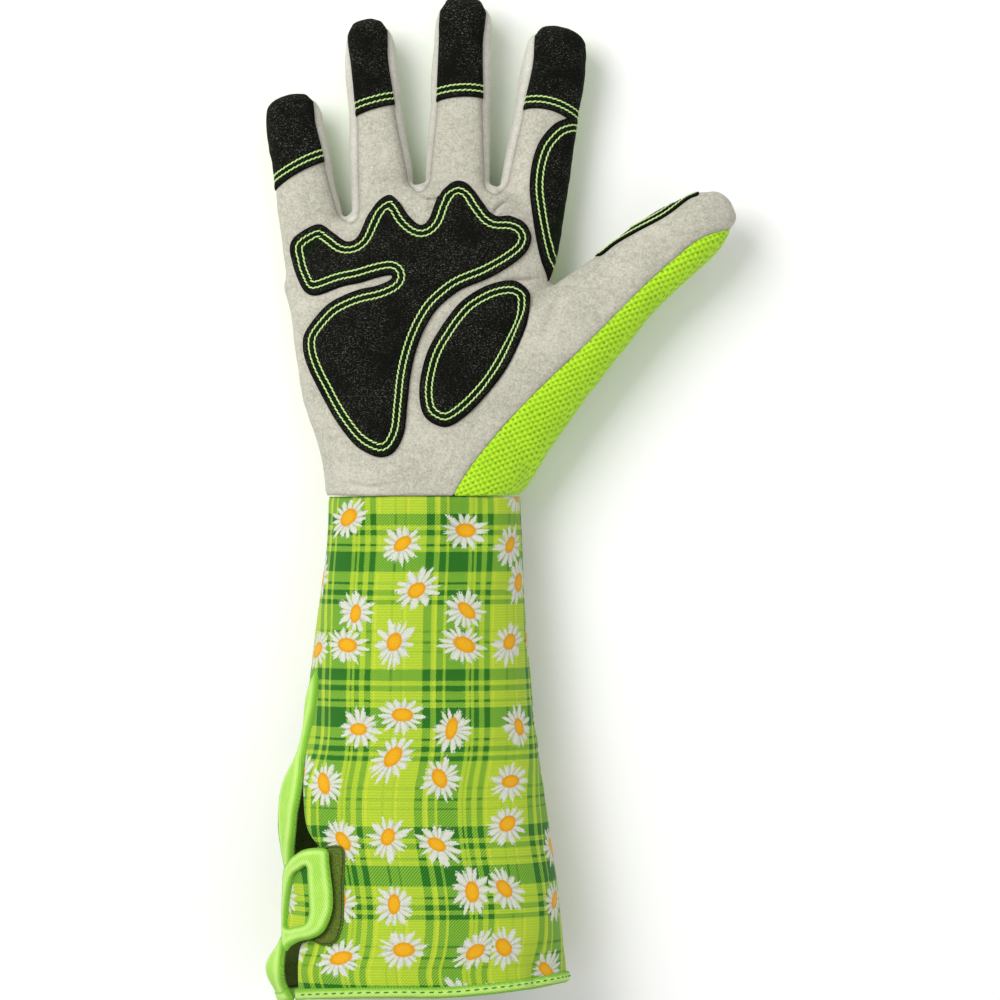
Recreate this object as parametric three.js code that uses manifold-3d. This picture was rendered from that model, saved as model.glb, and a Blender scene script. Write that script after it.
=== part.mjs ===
import * as THREE from "three";
import { mergeVertices } from "three/addons/utils/BufferGeometryUtils.js";
import Module from "manifold-3d";

const wasm = await Module();
wasm.setup();

// Right-hand pruning gauntlet lying on its back, palm up. Millimetres, fingers towards +Y,
// thumb towards +X. While it is worked out, y = 0 is the wrist seam and z = 0 the surface it lies on.

// Driving sizes of the hand
const handLength = 210;
const palmWidth = 105;
const palmDepth = 42;
const wristWidth = 81;
const wristDepth = 50;
const fingerWidth = 28;
const fingerDepth = 24;
const thumbWidth = 33;
const thumbDepth = 28;
const backFlattening = 3;
const knuckleArch = 21;

// Driving sizes of the cuff
const cuffLength = 211;
const mouthWidth = 120;
const mouthDepth = 76;
const hemRise = 8;
const foldDepth = 2.2;

// Thicknesses, trims and clearances
const leather = 1.6;
const padding = 2.4;
const overlay = 1.2;
const tape = 0.9;
const gap = 0.3;
const bindingWidth = 4.6;
const strapCloth = 1.4;
const hookPile = 0.9;

// Seams
const seamHeight = 16;
const sidewallLow = 7;
const fourchetteInset = 3.2;
const sidewallEnd = 0.93;
const seamTaper = 8;
const webDrop = 6;
const webWidth = 5;
const padLow = 23;
const capArch = 3;

// A cut that has to pass clear of everything reaches this far past it
const beyond = 60;

// Cuts that meet at a slant leave offcuts smaller than this volume, which aren't part of a piece
const offcutVolume = 20;

// Fingers: root and tip as shares of palm width (x) and hand length (y), widths as shares of
// the finger width, and where the cap's lower edge crosses the axis, its tilt and its arch
const fingers = [
  { name: "pinky", rootX: -0.4, rootY: 0.39, tipX: -0.528, tipY: 0.798, base: 0.98, end: 0.83,
    capAt: 0.62, capTilt: 0.34, arch: 0.45 },
  { name: "ring", rootX: -0.128, rootY: 0.41, tipX: -0.224, tipY: 0.948, base: 0.96, end: 0.78,
    capAt: 0.665, capTilt: 0.2, arch: 0.35 },
  { name: "middle", rootX: 0.116, rootY: 0.41, tipX: 0.164, tipY: 0.992, base: 0.98, end: 0.88,
    capAt: 0.665, capTilt: 0.1, arch: 0.65 },
  { name: "index", rootX: 0.37, rootY: 0.41, tipX: 0.542, tipY: 0.932, base: 1, end: 0.93,
    capAt: 0.695, capTilt: -0.03, arch: 1.2 },
];

// Sections along a finger: taper runs from the base width to the end width, round closes the tip,
// depth is a share of the finger depth and rise the centre's height as a share of it
const fingerSections = [
  { at: 0, taper: 0, round: 1, depth: 1.08, rise: 0.56 },
  { at: 0.4, taper: 0, round: 1, depth: 1, rise: 0.52 },
  { at: 0.64, taper: 0.7, round: 1, depth: 0.94, rise: 0.53 },
  { at: 0.86, taper: 1, round: 1, depth: 0.88, rise: 0.6 },
  { at: 0.935, taper: 1, round: 0.92, depth: 0.8, rise: 0.63 },
  { at: 0.98, taper: 1, round: 0.68, depth: 0.58, rise: 0.65 },
  { at: 1, taper: 1, round: 0.34, depth: 0.3, rise: 0.66 },
];

// Sections along the thumb: centre as shares of palm width and hand length, width as a share of
// the thumb width, depth and the centre's height as shares of the thumb depth
const thumbSections = [
  { x: 0.188, y: 0.1, width: 1.79, depth: 1.2, rise: 0.82 },
  { x: 0.308, y: 0.17, width: 1.62, depth: 1.28, rise: 0.86 },
  { x: 0.468, y: 0.26, width: 1.43, depth: 1.2, rise: 0.88 },
  { x: 0.65, y: 0.348, width: 1.22, depth: 1.1, rise: 0.88 },
  { x: 0.858, y: 0.446, width: 0.985, depth: 1, rise: 0.88 },
  { x: 0.968, y: 0.49, width: 0.93, depth: 0.96, rise: 0.89 },
  { x: 1.076, y: 0.53, width: 0.84, depth: 0.88, rise: 0.9 },
  { x: 1.132, y: 0.554, width: 0.72, depth: 0.74, rise: 0.9 },
  { x: 1.184, y: 0.575, width: 0.54, depth: 0.52, rise: 0.9 },
  { x: 1.212, y: 0.588, width: 0.28, depth: 0.28, rise: 0.9 },
];

// Sections of the palm: at is a share of hand length, left and right of palm width (the first row
// follows the wrist), top of palm depth, and drop how far the row falls away beside the knuckles
const knuckleCrestX = 0.115;
const palmSections = [
  { at: 0.035, left: -0.395, right: 0.42, top: 1.16, drop: 0 },
  { at: 0.11, left: -0.425, right: 0.48, top: 1.1, drop: 0 },
  { at: 0.19, left: -0.48, right: 0.52, top: 1.03, drop: 0 },
  { at: 0.27, left: -0.508, right: 0.525, top: 0.98, drop: 0 },
  { at: 0.355, left: -0.53, right: 0.52, top: 0.95, drop: 0 },
  { at: 0.45, left: -0.545, right: 0.515, top: 0.88, drop: 0.35 },
  { at: 0.53, left: -0.556, right: 0.525, top: 0.78, drop: 0.68 },
  { at: 0.602, left: -0.556, right: 0.52, top: 0.7, drop: 0.94 },
  { at: 0.625, left: -0.54, right: 0.5, top: 0.6, drop: 1 },
];

// Lowest point of the gap between neighbouring fingers, as shares of palm width and hand length
const crotches = [
  { x: -0.292, y: 0.542 },
  { x: -0.015, y: 0.604 },
  { x: 0.288, y: 0.6 },
];

// Sections of the cuff: at is a share of its length, flare runs from the wrist to the mouth,
// shift and bulge (of the slit's side only) are shares of the mouth width
const cuffSections = [
  { at: -0.03, flare: 0, shift: 0.005, bulge: 0 },
  { at: 0.09, flare: 0.01, shift: 0.004, bulge: 0 },
  { at: 0.2, flare: 0.12, shift: -0.005, bulge: 0 },
  { at: 0.36, flare: 0.29, shift: -0.01, bulge: 0 },
  { at: 0.51, flare: 0.49, shift: -0.014, bulge: 0.004 },
  { at: 0.57, flare: 0.57, shift: -0.013, bulge: 0.042 },
  { at: 0.64, flare: 0.67, shift: -0.011, bulge: 0.048 },
  { at: 0.7, flare: 0.75, shift: -0.009, bulge: 0.026 },
  { at: 0.75, flare: 0.82, shift: -0.008, bulge: -0.004 },
  { at: 0.83, flare: 0.91, shift: -0.006, bulge: -0.02 },
  { at: 0.88, flare: 0.95, shift: -0.002, bulge: 0.006 },
  { at: 0.92, flare: 0.98, shift: 0, bulge: 0.044 },
  { at: 0.98, flare: 1, shift: 0.002, bulge: 0.004 },
  { at: 1.07, flare: 1, shift: 0.002, bulge: -0.04 },
];

// Soft folds of the cuff: place along it, turn round the section in degrees from the thumb's side,
// depth as a share of the fold depth, length as a share of the cuff length, width in degrees
const cuffFolds = [
  { at: 0.07, turn: 66, depth: 1, length: 0.07, width: 13 },
  { at: 0.1, turn: 118, depth: 0.8, length: 0.08, width: 13 },
  { at: 0.47, turn: 152, depth: 0.7, length: 0.1, width: 12 },
  { at: 0.93, turn: 36, depth: 0.9, length: 0.06, width: 10 },
  { at: 0.96, turn: 84, depth: 0.6, length: 0.07, width: 12 },
];

// Outlines in plan, as shares of palm width and hand length
const palmPatchOutline = [
  [-0.528, 0.496], [-0.504, 0.52], [-0.42, 0.542], [-0.304, 0.502], [-0.26, 0.51],
  [-0.224, 0.55], [-0.132, 0.596], [-0.06, 0.558], [-0.012, 0.538], [0.024, 0.55],
  [0.052, 0.586], [0.14, 0.624], [0.236, 0.582], [0.28, 0.558], [0.344, 0.556],
  [0.428, 0.516], [0.408, 0.484], [0.344, 0.456], [0.256, 0.43], [0.116, 0.396],
  [0.052, 0.366], [0.004, 0.326], [-0.028, 0.282], [-0.06, 0.176], [-0.108, 0.088],
  [-0.156, 0.076], [-0.208, 0.082], [-0.272, 0.104], [-0.344, 0.152], [-0.408, 0.21],
  [-0.472, 0.302], [-0.456, 0.332], [-0.388, 0.374], [-0.324, 0.394], [-0.252, 0.408],
  [-0.18, 0.416], [-0.124, 0.428], [-0.124, 0.438], [-0.248, 0.422], [-0.324, 0.414],
  [-0.416, 0.398], [-0.464, 0.404], [-0.496, 0.432],
];
const thumbPadOutline = [
  [0.352, 0.426], [0.408, 0.412], [0.424, 0.39], [0.416, 0.346], [0.376, 0.294],
  [0.32, 0.242], [0.24, 0.192], [0.168, 0.156], [0.1, 0.136], [0.044, 0.142],
  [0.004, 0.16], [-0.012, 0.192], [-0.008, 0.234], [0.02, 0.286], [0.068, 0.33],
  [0.132, 0.374], [0.192, 0.4], [0.272, 0.42],
];
const indexSideOutline = [
  [0.604, 0.73], [0.556, 0.732], [0.512, 0.722], [0.464, 0.694], [0.436, 0.658],
  [0.424, 0.616], [0.432, 0.57], [0.448, 0.516], [0.468, 0.466], [0.504, 0.446],
  [0.6, 0.51], [0.7, 0.58], [0.7, 0.72],
];
const thumbPatchOutline = [
  [1.1, 0.6], [1.056, 0.584], [0.964, 0.552], [0.852, 0.524], [0.768, 0.5],
  [0.7, 0.476], [0.66, 0.51], [0.79, 0.57], [0.93, 0.62], [1.07, 0.64],
];

// The seam between leather and mesh, from the wrist to the thumb's end
const thumbSeam = [
  [0.128, 0.006], [0.192, 0.058], [0.264, 0.104], [0.368, 0.164], [0.492, 0.226],
  [0.64, 0.296], [0.76, 0.356], [0.884, 0.418], [0.992, 0.466], [1.112, 0.512], [1.3, 0.54],
];

// Edges of the slit in plan, as shares of mouth width and cuff length
const backEdge = [
  [-0.385, 0.408], [-0.418, 0.488], [-0.425, 0.522], [-0.435, 0.588], [-0.449, 0.697],
  [-0.449, 0.807], [-0.456, 0.886], [-0.46, 0.926], [-0.435, 1.026],
];
const frontEdge = [
  [-0.418, 0.5], [-0.414, 0.56], [-0.412, 0.707], [-0.414, 0.807], [-0.425, 0.906], [-0.42, 1.026],
];
const strapOutline = [
  [-0.463, 0.721], [-0.425, 0.709], [-0.382, 0.701], [-0.337, 0.703], [-0.316, 0.757],
  [-0.312, 0.797], [-0.319, 0.831], [-0.347, 0.857], [-0.396, 0.876], [-0.439, 0.892],
  [-0.472, 0.902], [-0.468, 0.8],
];
const strapWindow = [
  [-0.448, 0.749], [-0.414, 0.737], [-0.384, 0.733], [-0.377, 0.767], [-0.377, 0.817],
  [-0.391, 0.847], [-0.425, 0.856], [-0.453, 0.862],
];
const hookOutline = [
  [-0.4, 0.7], [-0.27, 0.7], [-0.268, 0.76], [-0.27, 0.837], [-0.291, 0.869], [-0.33, 0.89],
  [-0.4, 0.892],
];

// Height of the side seam and of the slit tape's lower edge, as shares of the mouth depth
const cuffSeam = [
  [-0.1, 0.32], [0, 0.32], [0.5, 0.42], [1.1, 0.49],
];
const tapeSeam = [
  [-0.1, 0.36], [0.408, 0.4], [0.522, 0.46], [0.64, 0.56], [1.1, 0.62],
];

// Points round a section: rounder than a box, squarer than an ellipse
const fingerSides = 12;
const palmSides = 22;
const cuffSides = 24;
const fingerPower = 2.3;
const palmPower = 2.5;
const cuffPower = 2.2;

const lerp = THREE.MathUtils.lerp;

function column(rows, at, key) {
  const next = rows.findIndex((row) => row.at >= at);
  if (next <= 0) return rows[Math.max(next, 0)][key];
  const low = rows[next - 1];
  const high = rows[next];
  return lerp(low[key], high[key], (at - low.at) / (high.at - low.at));
}

function onHand([x, y]) {
  return new THREE.Vector2(x * palmWidth, y * handLength);
}

function onCuff([x, y]) {
  return new THREE.Vector2(x * mouthWidth, -y * cuffLength);
}

// The outline moved outwards by a distance, inwards if it is negative
function grown(points, distance) {
  const turn = Math.sign(THREE.ShapeUtils.area(points));
  return points.map((p, i) => {
    const before = p.clone().sub(points.at(i - 1)).normalize();
    const after = points[(i + 1) % points.length].clone().sub(p).normalize();
    const along = before.clone().add(after).normalize();
    const stretch = Math.max(before.dot(along), 0.5);
    const normal = new THREE.Vector2(along.y, -along.x);
    return p.clone().addScaledVector(normal, turn * distance / stretch);
  });
}

function solidOf(geometry) {
  geometry.deleteAttribute("normal");
  geometry.deleteAttribute("uv");
  const merged = mergeVertices(geometry, 1e-4);
  return new wasm.Manifold(new wasm.Mesh({
    numProp: 3,
    vertProperties: new Float32Array(merged.attributes.position.array),
    triVerts: new Uint32Array(merged.index.array),
  }));
}

// Upright prism over an outline in plan
function prism(points, low, high) {
  const geometry = new THREE.ExtrudeGeometry(
    new THREE.Shape(points), { depth: high - low, bevelEnabled: false });
  geometry.translate(0, 0, low);
  return solidOf(geometry);
}

// Prism across the whole width over an outline in the y-z plane
function crossPrism(points) {
  const width = 2 * (palmWidth + mouthWidth + beyond);
  const geometry = new THREE.ExtrudeGeometry(
    new THREE.Shape(points), { depth: width, bevelEnabled: false });
  geometry.applyMatrix4(new THREE.Matrix4().makeBasis(
    new THREE.Vector3(0, 1, 0), new THREE.Vector3(0, 0, 1), new THREE.Vector3(1, 0, 0)));
  geometry.translate(-width / 2, 0, 0);
  return solidOf(geometry);
}

function union(solids) {
  return solids.reduce((all, solid) => all.add(solid));
}

// Triangles of an end face, from rungs between the points that face each other across it
function ladder(sides) {
  const rungs = Array.from({ length: sides / 2 }, (_, i) => [i, i + 1, sides - i - 1, (sides - i) % sides]);
  return rungs.flatMap(([a, b, c, d]) => [[a, b, c], [a, c, d]]).filter(([a, b, c]) => b !== c && c !== a);
}

// Closed loft through rings of points
function loft(rings) {
  const sides = rings[0].length;
  const points = rings.flat();
  const triangles = [];
  rings.slice(1).forEach((ring, row) => {
    ring.forEach((_, i) => {
      const a = row * sides + i;
      const b = row * sides + (i + 1) % sides;
      triangles.push(a, b, b + sides, a, b + sides, a + sides);
    });
  });
  const last = (rings.length - 1) * sides;
  ladder(sides).forEach(([a, b, c]) => triangles.push(a, c, b, last + a, last + b, last + c));
  const geometry = new THREE.BufferGeometry().setFromPoints(points);
  geometry.setIndex(triangles);
  return solidOf(geometry);
}

// Point of a rounded section at a turn, with half sizes a and b
function sectionPoint(turn, a, b, power) {
  const bend = (value) => Math.sign(value) * Math.abs(value) ** (2 / power);
  return new THREE.Vector2(a * bend(Math.cos(turn)), b * bend(Math.sin(turn)));
}

// Ring across a digit, whose axis runs along a direction in plan
function digitRing(centre, direction, a, b) {
  return Array.from({ length: fingerSides }, (_, i) => {
    const p = sectionPoint(-2 * Math.PI * i / fingerSides, a, b, fingerPower);
    return new THREE.Vector3(
      centre.x + direction.y * p.x, centre.y - direction.x * p.x, centre.z + p.y);
  });
}

function fingerAxis(finger) {
  const root = onHand([finger.rootX, finger.rootY]);
  const tip = onHand([finger.tipX, finger.tipY]);
  const direction = tip.clone().sub(root).normalize();
  return { root, tip, direction, side: new THREE.Vector2(direction.y, -direction.x) };
}

function fingerHalfWidth(finger, at) {
  const share = lerp(finger.base, finger.end, column(fingerSections, at, "taper"));
  return share * fingerWidth * column(fingerSections, at, "round") / 2;
}

function fingerHull(finger, offset) {
  const { root, tip, direction } = fingerAxis(finger);
  return loft(fingerSections.map((row) => {
    const plan = root.clone().lerp(tip, row.at).addScaledVector(direction, offset * row.at);
    const centre = new THREE.Vector3(plan.x, plan.y, row.rise * fingerDepth);
    const b = row.depth * fingerDepth / 2 + offset;
    return digitRing(centre, direction, fingerHalfWidth(finger, row.at) + offset, b);
  }));
}

function thumbHull(offset) {
  const centres = thumbSections.map((row) => onHand([row.x, row.y]));
  return loft(thumbSections.map((row, i) => {
    const before = centres[Math.max(i - 1, 0)];
    const after = centres[Math.min(i + 1, centres.length - 1)];
    const direction = after.clone().sub(before).normalize();
    const share = i / (centres.length - 1);
    const plan = centres[i].clone().addScaledVector(direction, offset * share);
    const centre = new THREE.Vector3(plan.x, plan.y, row.rise * thumbDepth);
    const a = row.width * thumbWidth / 2 + offset;
    return digitRing(centre, direction, a, row.depth * thumbDepth / 2 + offset);
  }));
}

// Rounded section between left, right and top, sunk below the surface that flattens it.
// The function lower gives how far a point falls back along y.
function bodyRing(y, left, right, top, offset, power, sides, dent, lower) {
  const middle = (top - backFlattening) / 2;
  return Array.from({ length: sides }, (_, i) => {
    const turn = 2 * Math.PI * i / sides;
    const inset = offset - dent(turn);
    const p = sectionPoint(turn, (right - left) / 2 + inset, (top + backFlattening) / 2 + inset, power);
    const x = (left + right) / 2 + p.x;
    return new THREE.Vector3(x, y - lower(x), middle + p.y);
  });
}

const noDent = () => 0;

function wristRing(y, offset, sides, power) {
  const left = -wristWidth / 2;
  return bodyRing(y, left, -left, wristDepth, offset, power, sides, noDent, () => 0);
}

// The palm starts at the wrist, where a hollow runs on past the seam
function palmHull(offset) {
  const start = offset < 0 ? -leather : 0;
  const crest = knuckleCrestX * palmWidth;
  const rows = palmSections.map((row, i) => {
    const lower = (x) => row.drop * knuckleArch * ((x - crest) / (palmWidth / 2)) ** 2;
    const y = row.at * handLength + offset * i / (palmSections.length - 1);
    return bodyRing(y, row.left * palmWidth, row.right * palmWidth, row.top * palmDepth,
      offset, palmPower, palmSides, noDent, lower);
  });
  return loft([wristRing(start, offset, palmSides, palmPower), ...rows].reverse());
}

function foldsAt(at) {
  return (turn) => cuffFolds.reduce((sum, fold) => {
    const along = (at - fold.at) / fold.length;
    const round = (THREE.MathUtils.radToDeg(turn) - fold.turn) / fold.width;
    return sum + foldDepth * fold.depth * Math.exp(-along * along - round * round);
  }, 0);
}

function cuffHull(offset) {
  return loft(cuffSections.map((row) => {
    const half = lerp(wristWidth, mouthWidth, row.flare) / 2;
    const shift = row.shift * mouthWidth;
    const left = shift - half - row.bulge * mouthWidth;
    const top = lerp(wristDepth, mouthDepth, row.flare);
    return bodyRing(-row.at * cuffLength, left, shift + half, top,
      offset, cuffPower, cuffSides, foldsAt(row.at), () => 0);
  }));
}

// Everything above a height that changes along the cuff
function above(profile, rise) {
  const edge = profile.map(([at, share]) =>
    new THREE.Vector2(-at * cuffLength, share * mouthDepth + rise));
  const top = 2 * mouthDepth;
  return crossPrism([...edge, new THREE.Vector2(edge.at(-1).x, top), new THREE.Vector2(edge[0].x, top)]);
}

// The surface it lies on flattens the hand, and the cuff's cloth is lifted by the hem's tape
const hemLift = gap + tape;
function overFloor(solid, height) {
  const size = beyond + handLength + cuffLength;
  const top = 2 * mouthDepth;
  const edge = new THREE.Vector2(-cuffLength - beyond, hemLift + height);
  const flat = Math.max(height, 0);
  return solid.intersect(crossPrism([
    edge, new THREE.Vector2(-cuffLength, hemLift + height), new THREE.Vector2(0, flat),
    new THREE.Vector2(size, flat), new THREE.Vector2(size, top), new THREE.Vector2(edge.x, top),
  ]));
}

function handHull(offset) {
  const parts = [palmHull(offset), thumbHull(offset), ...fingers.map((f) => fingerHull(f, offset))];
  return overFloor(union(parts), Math.max(-offset, 0));
}

function cuffLayer(offset) {
  return overFloor(cuffHull(offset), -offset);
}

// Layer of the hand's or the cuff's surface between two offsets
const handLayer = (inner, outer) => handHull(outer).subtract(handHull(inner));
const cuffWall = (inner, outer) => cuffLayer(outer).subtract(cuffLayer(inner));

const high = 2 * mouthDepth;

// Strip between two neighbouring fingers, from its low point up both of its seams
function fourchetteOutline(index) {
  const crotch = onHand([crotches[index].x, crotches[index].y]);
  const steps = 5;
  const seams = [1, -1].map((sign, which) => {
    const finger = fingers[index + which];
    const { root, tip, side } = fingerAxis(finger);
    const from = (crotch.y + seamTaper - root.y) / (tip.y - root.y);
    const points = Array.from({ length: steps }, (_, i) => {
      const at = lerp(from, sidewallEnd, i / (steps - 1));
      const reach = fingerHalfWidth(finger, at) - fourchetteInset;
      return root.clone().lerp(tip, at).addScaledVector(side, sign * reach);
    });
    const outside = fingerHalfWidth(finger, sidewallEnd) + 2 * fourchetteInset;
    const past = tip.clone().addScaledVector(side, sign * outside);
    return [...points, past];
  });
  const low = [-1, 1].map((sign) => crotch.clone().add(new THREE.Vector2(sign * webWidth / 2, -webDrop)));
  return [...low, ...seams[1], ...seams[0].reverse()];
}

// The leather of the palm's side in plan, bounded by its seam with the mesh
function leatherOutline() {
  const seam = thumbSeam.map(onHand);
  const top = handLength + beyond;
  return [
    new THREE.Vector2(-palmWidth, -beyond), new THREE.Vector2(seam[0].x, -beyond), ...seam,
    new THREE.Vector2(seam.at(-1).x, top), new THREE.Vector2(-palmWidth, top),
  ];
}

// A cap's area in plan: across the finger above its lower edge, out to the seams
function capOutline(finger) {
  const { root, tip, side, direction } = fingerAxis(finger);
  const length = root.distanceTo(tip);
  const reach = fingerHalfWidth(finger, finger.capAt) + 2 * (overlay + gap);
  const steps = 4;
  const lower = Array.from({ length: steps + 1 }, (_, i) => {
    const across = lerp(-reach, reach, i / steps);
    const half = fingerHalfWidth(finger, finger.capAt);
    const bow = finger.arch * capArch * (1 - (across / half) ** 2);
    const along = finger.capAt * length + finger.capTilt * across + bow;
    return root.clone().addScaledVector(direction, along).addScaledVector(side, across);
  });
  const end = [reach, -reach].map((across) =>
    tip.clone().addScaledVector(direction, fingerWidth).addScaledVector(side, across));
  return [...lower, ...end];
}

// Hand pieces
const shell = handLayer(-leather, 0);
const fourchettes = crotches.map((_, i) => fourchetteOutline(i));
const fourchetteCuts = union(fourchettes.map((points) =>
  prism(grown(points, gap), sidewallLow - gap, high)));

function palmPanel() {
  return shell.intersect(prism(leatherOutline(), seamHeight, high)).subtract(fourchetteCuts);
}

function backPanel() {
  const leatherSide = prism(grown(leatherOutline(), gap), seamHeight - gap, high);
  return shell.subtract(leatherSide).subtract(fourchetteCuts);
}

function sidewall(index) {
  return shell.intersect(prism(fourchettes[index], sidewallLow, high));
}

const overlayLayer = handLayer(gap, gap + overlay);
const paddedLayer = handLayer(gap, gap + padding);

function cap(finger) {
  return overlayLayer.intersect(prism(capOutline(finger), seamHeight, high)).subtract(fourchetteCuts);
}

function patch(outline, layer, low) {
  return layer.intersect(prism(outline.map(onHand), low, high));
}

// Cuff pieces
function hemLine(rise) {
  const steps = 6;
  const half = mouthWidth / 2 + beyond / 2;
  return Array.from({ length: steps + 1 }, (_, i) => {
    const x = lerp(half, -half, i / steps);
    const lift = hemRise * Math.max(x / (mouthWidth / 2), 0) ** 2;
    return new THREE.Vector2(x, -cuffLength + lift + rise);
  });
}

// Plan area of the cuff from the wrist seam down to a line above its hem
function cuffArea(rise) {
  const line = hemLine(rise);
  return prism([...line, new THREE.Vector2(line.at(-1).x, -gap), new THREE.Vector2(line[0].x, -gap)],
    -beyond, high);
}

// Plan area left of the slit's back edge, drawn in by a distance, above the side seam
function flapArea(inset) {
  const edge = smoothEdge(backEdge);
  const outside = new THREE.Vector2(-mouthWidth, edge.at(-1).y);
  return prism(grown([...edge, outside, new THREE.Vector2(-mouthWidth, edge[0].y)], -inset), 0, high);
}

function smoothEdge(points) {
  const path = new THREE.SplineCurve(points.map(onCuff));
  return path.getPoints(points.length);
}

// The open slit between the back panel's edge and the front panel's
function slitArea() {
  const back = smoothEdge(backEdge).filter((p) => p.y < -frontEdge[0][1] * cuffLength);
  const front = smoothEdge(frontEdge);
  return prism([...back, ...front.reverse()], 0, high).intersect(above(cuffSeam, 0));
}

const cuffShell = cuffWall(-leather, 0);
const slit = slitArea();
const taped = cuffWall(-leather - gap - tape, gap + tape);
const tapeRoom = cuffWall(-leather - gap, gap);
const clothArea = cuffArea(tape + gap);

function cuffFront() {
  return cuffShell.intersect(clothArea).intersect(above(cuffSeam, 0))
    .subtract(flapArea(-gap)).subtract(slit);
}

function cuffBack() {
  const flap = flapArea(tape + gap).intersect(above(cuffSeam, -2 * gap));
  const cloth = cuffShell.intersect(clothArea);
  return cloth.subtract(above(cuffSeam, -gap)).add(cloth.intersect(flap));
}

function slitBinding() {
  const strip = taped.intersect(flapArea(0)).intersect(above(tapeSeam, 0))
    .intersect(cuffArea(bindingWidth + gap));
  return strip.subtract(tapeRoom.intersect(flapArea(tape)));
}

function hemBinding() {
  const band = taped.intersect(cuffArea(0)).subtract(cuffArea(bindingWidth));
  return band.subtract(tapeRoom.intersect(cuffArea(tape))).subtract(slit);
}

// The tab lies over the slit's tape, its cloth held between two layers of tape
const strapSeat = gap + tape + gap;
const strapInner = strapSeat + tape + gap;
const strapOuter = strapInner + strapCloth;

function strapArea(inset) {
  return prism(grown(strapOutline.map(onCuff), -inset), mouthDepth * cuffSeam[2][1], high);
}

function strapPanel() {
  return cuffWall(strapInner, strapOuter).intersect(strapArea(tape + gap));
}

function strapBinding() {
  const window = prism(strapWindow.map(onCuff), 0, high);
  const room = cuffWall(strapInner - gap, strapOuter + gap).intersect(strapArea(tape));
  return cuffWall(strapSeat, strapOuter + gap + tape).intersect(strapArea(0))
    .subtract(room).subtract(window);
}

function hookPatch() {
  return cuffWall(gap, gap + hookPile).intersect(prism(hookOutline.map(onCuff), 0, high))
    .intersect(above(cuffSeam, 0));
}

const greySuede = { color: 0xcdc8bc, roughness: 0.95, metalness: 0 };
const paleSuede = { color: 0xdedcd2, roughness: 0.95, metalness: 0 };
const blackLeather = { color: 0x1c1c1a, roughness: 0.6, metalness: 0 };
const limeMesh = { color: 0xa9d22f, roughness: 0.85, metalness: 0 };
const limeTape = { color: 0xa5e85a, roughness: 0.7, metalness: 0 };
const printedCloth = { color: 0x9ac83c, roughness: 0.85, metalness: 0 };
const pile = { color: 0x6f9a3a, roughness: 1, metalness: 0 };

function withoutOffcuts(solid) {
  return union(solid.decompose().filter((body) => body.volume() > offcutVolume));
}

const pieces = [
  ["palm_panel", palmPanel(), greySuede],
  ["back_panel", backPanel(), limeMesh],
  ["sidewall_pinky_ring", sidewall(0), paleSuede],
  ["sidewall_ring_middle", sidewall(1), paleSuede],
  ["sidewall_middle_index", sidewall(2), paleSuede],
  ...fingers.map((finger) => ["cap_" + finger.name, cap(finger), blackLeather]),
  ["palm_patch", patch(palmPatchOutline, paddedLayer, padLow), blackLeather],
  ["thumb_pad", patch(thumbPadOutline, paddedLayer, padLow), blackLeather],
  ["index_side_patch", patch(indexSideOutline, overlayLayer, seamHeight), blackLeather],
  ["thumb_patch", patch(thumbPatchOutline, overlayLayer, seamHeight), blackLeather],
  ["cuff_front_panel", cuffFront(), printedCloth],
  ["cuff_back_panel", cuffBack(), printedCloth],
  ["slit_binding", slitBinding(), limeTape],
  ["hem_binding", hemBinding(), limeTape],
  ["strap_panel", strapPanel(), printedCloth],
  ["strap_binding", strapBinding(), limeTape],
  ["hook_loop_patch", hookPatch(), pile],
];

function meshOf([name, solid, finish]) {
  const { vertProperties, triVerts, numProp } = withoutOffcuts(solid).getMesh();
  const geometry = new THREE.BufferGeometry();
  geometry.setAttribute("position", new THREE.BufferAttribute(new Float32Array(vertProperties), numProp));
  geometry.setIndex(new THREE.BufferAttribute(new Uint32Array(triVerts), 1));
  geometry.computeVertexNormals();
  const mesh = new THREE.Mesh(geometry, new THREE.MeshStandardMaterial(finish));
  mesh.name = name;
  return mesh;
}

const group = new THREE.Group();
group.add(...pieces.map(meshOf));

// The origin is the middle of the outline, on the surface that the gauntlet lies on
const bounds = new THREE.Box3().setFromObject(group);
const centre = bounds.getCenter(new THREE.Vector3());
group.position.set(-centre.x, -centre.y, -bounds.min.z);

export default group;
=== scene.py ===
import math
import bpy
import numpy as np
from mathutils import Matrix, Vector


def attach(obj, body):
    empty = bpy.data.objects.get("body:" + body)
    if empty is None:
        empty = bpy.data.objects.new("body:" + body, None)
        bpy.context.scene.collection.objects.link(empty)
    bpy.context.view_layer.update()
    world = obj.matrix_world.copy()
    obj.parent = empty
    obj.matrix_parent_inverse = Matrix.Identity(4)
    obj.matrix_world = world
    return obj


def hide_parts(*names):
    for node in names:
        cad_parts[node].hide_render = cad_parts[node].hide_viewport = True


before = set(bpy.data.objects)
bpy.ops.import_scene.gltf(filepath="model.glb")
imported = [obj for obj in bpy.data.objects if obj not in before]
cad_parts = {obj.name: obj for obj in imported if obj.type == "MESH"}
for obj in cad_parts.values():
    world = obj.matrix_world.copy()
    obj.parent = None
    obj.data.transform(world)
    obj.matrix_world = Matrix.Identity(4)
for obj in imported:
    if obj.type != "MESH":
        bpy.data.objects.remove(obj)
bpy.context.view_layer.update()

# Everything is worked out in millimetres with y = 0 at the wrist seam, fingers towards +Y,
# and moved into the frame when a mesh is made
frameShift = np.array([-31.89, 0.47, 0.0])

print("stage: sizes")
leather = 1.6  # walls of leather, mesh and cloth
tape = 0.9
gap = 0.3  # between pieces that lie on each other
backFlattening = 3
tabletop = {"lowest": -1.9, "pressedBelow": 4.0, "stitchClearance": 0.45}

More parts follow.
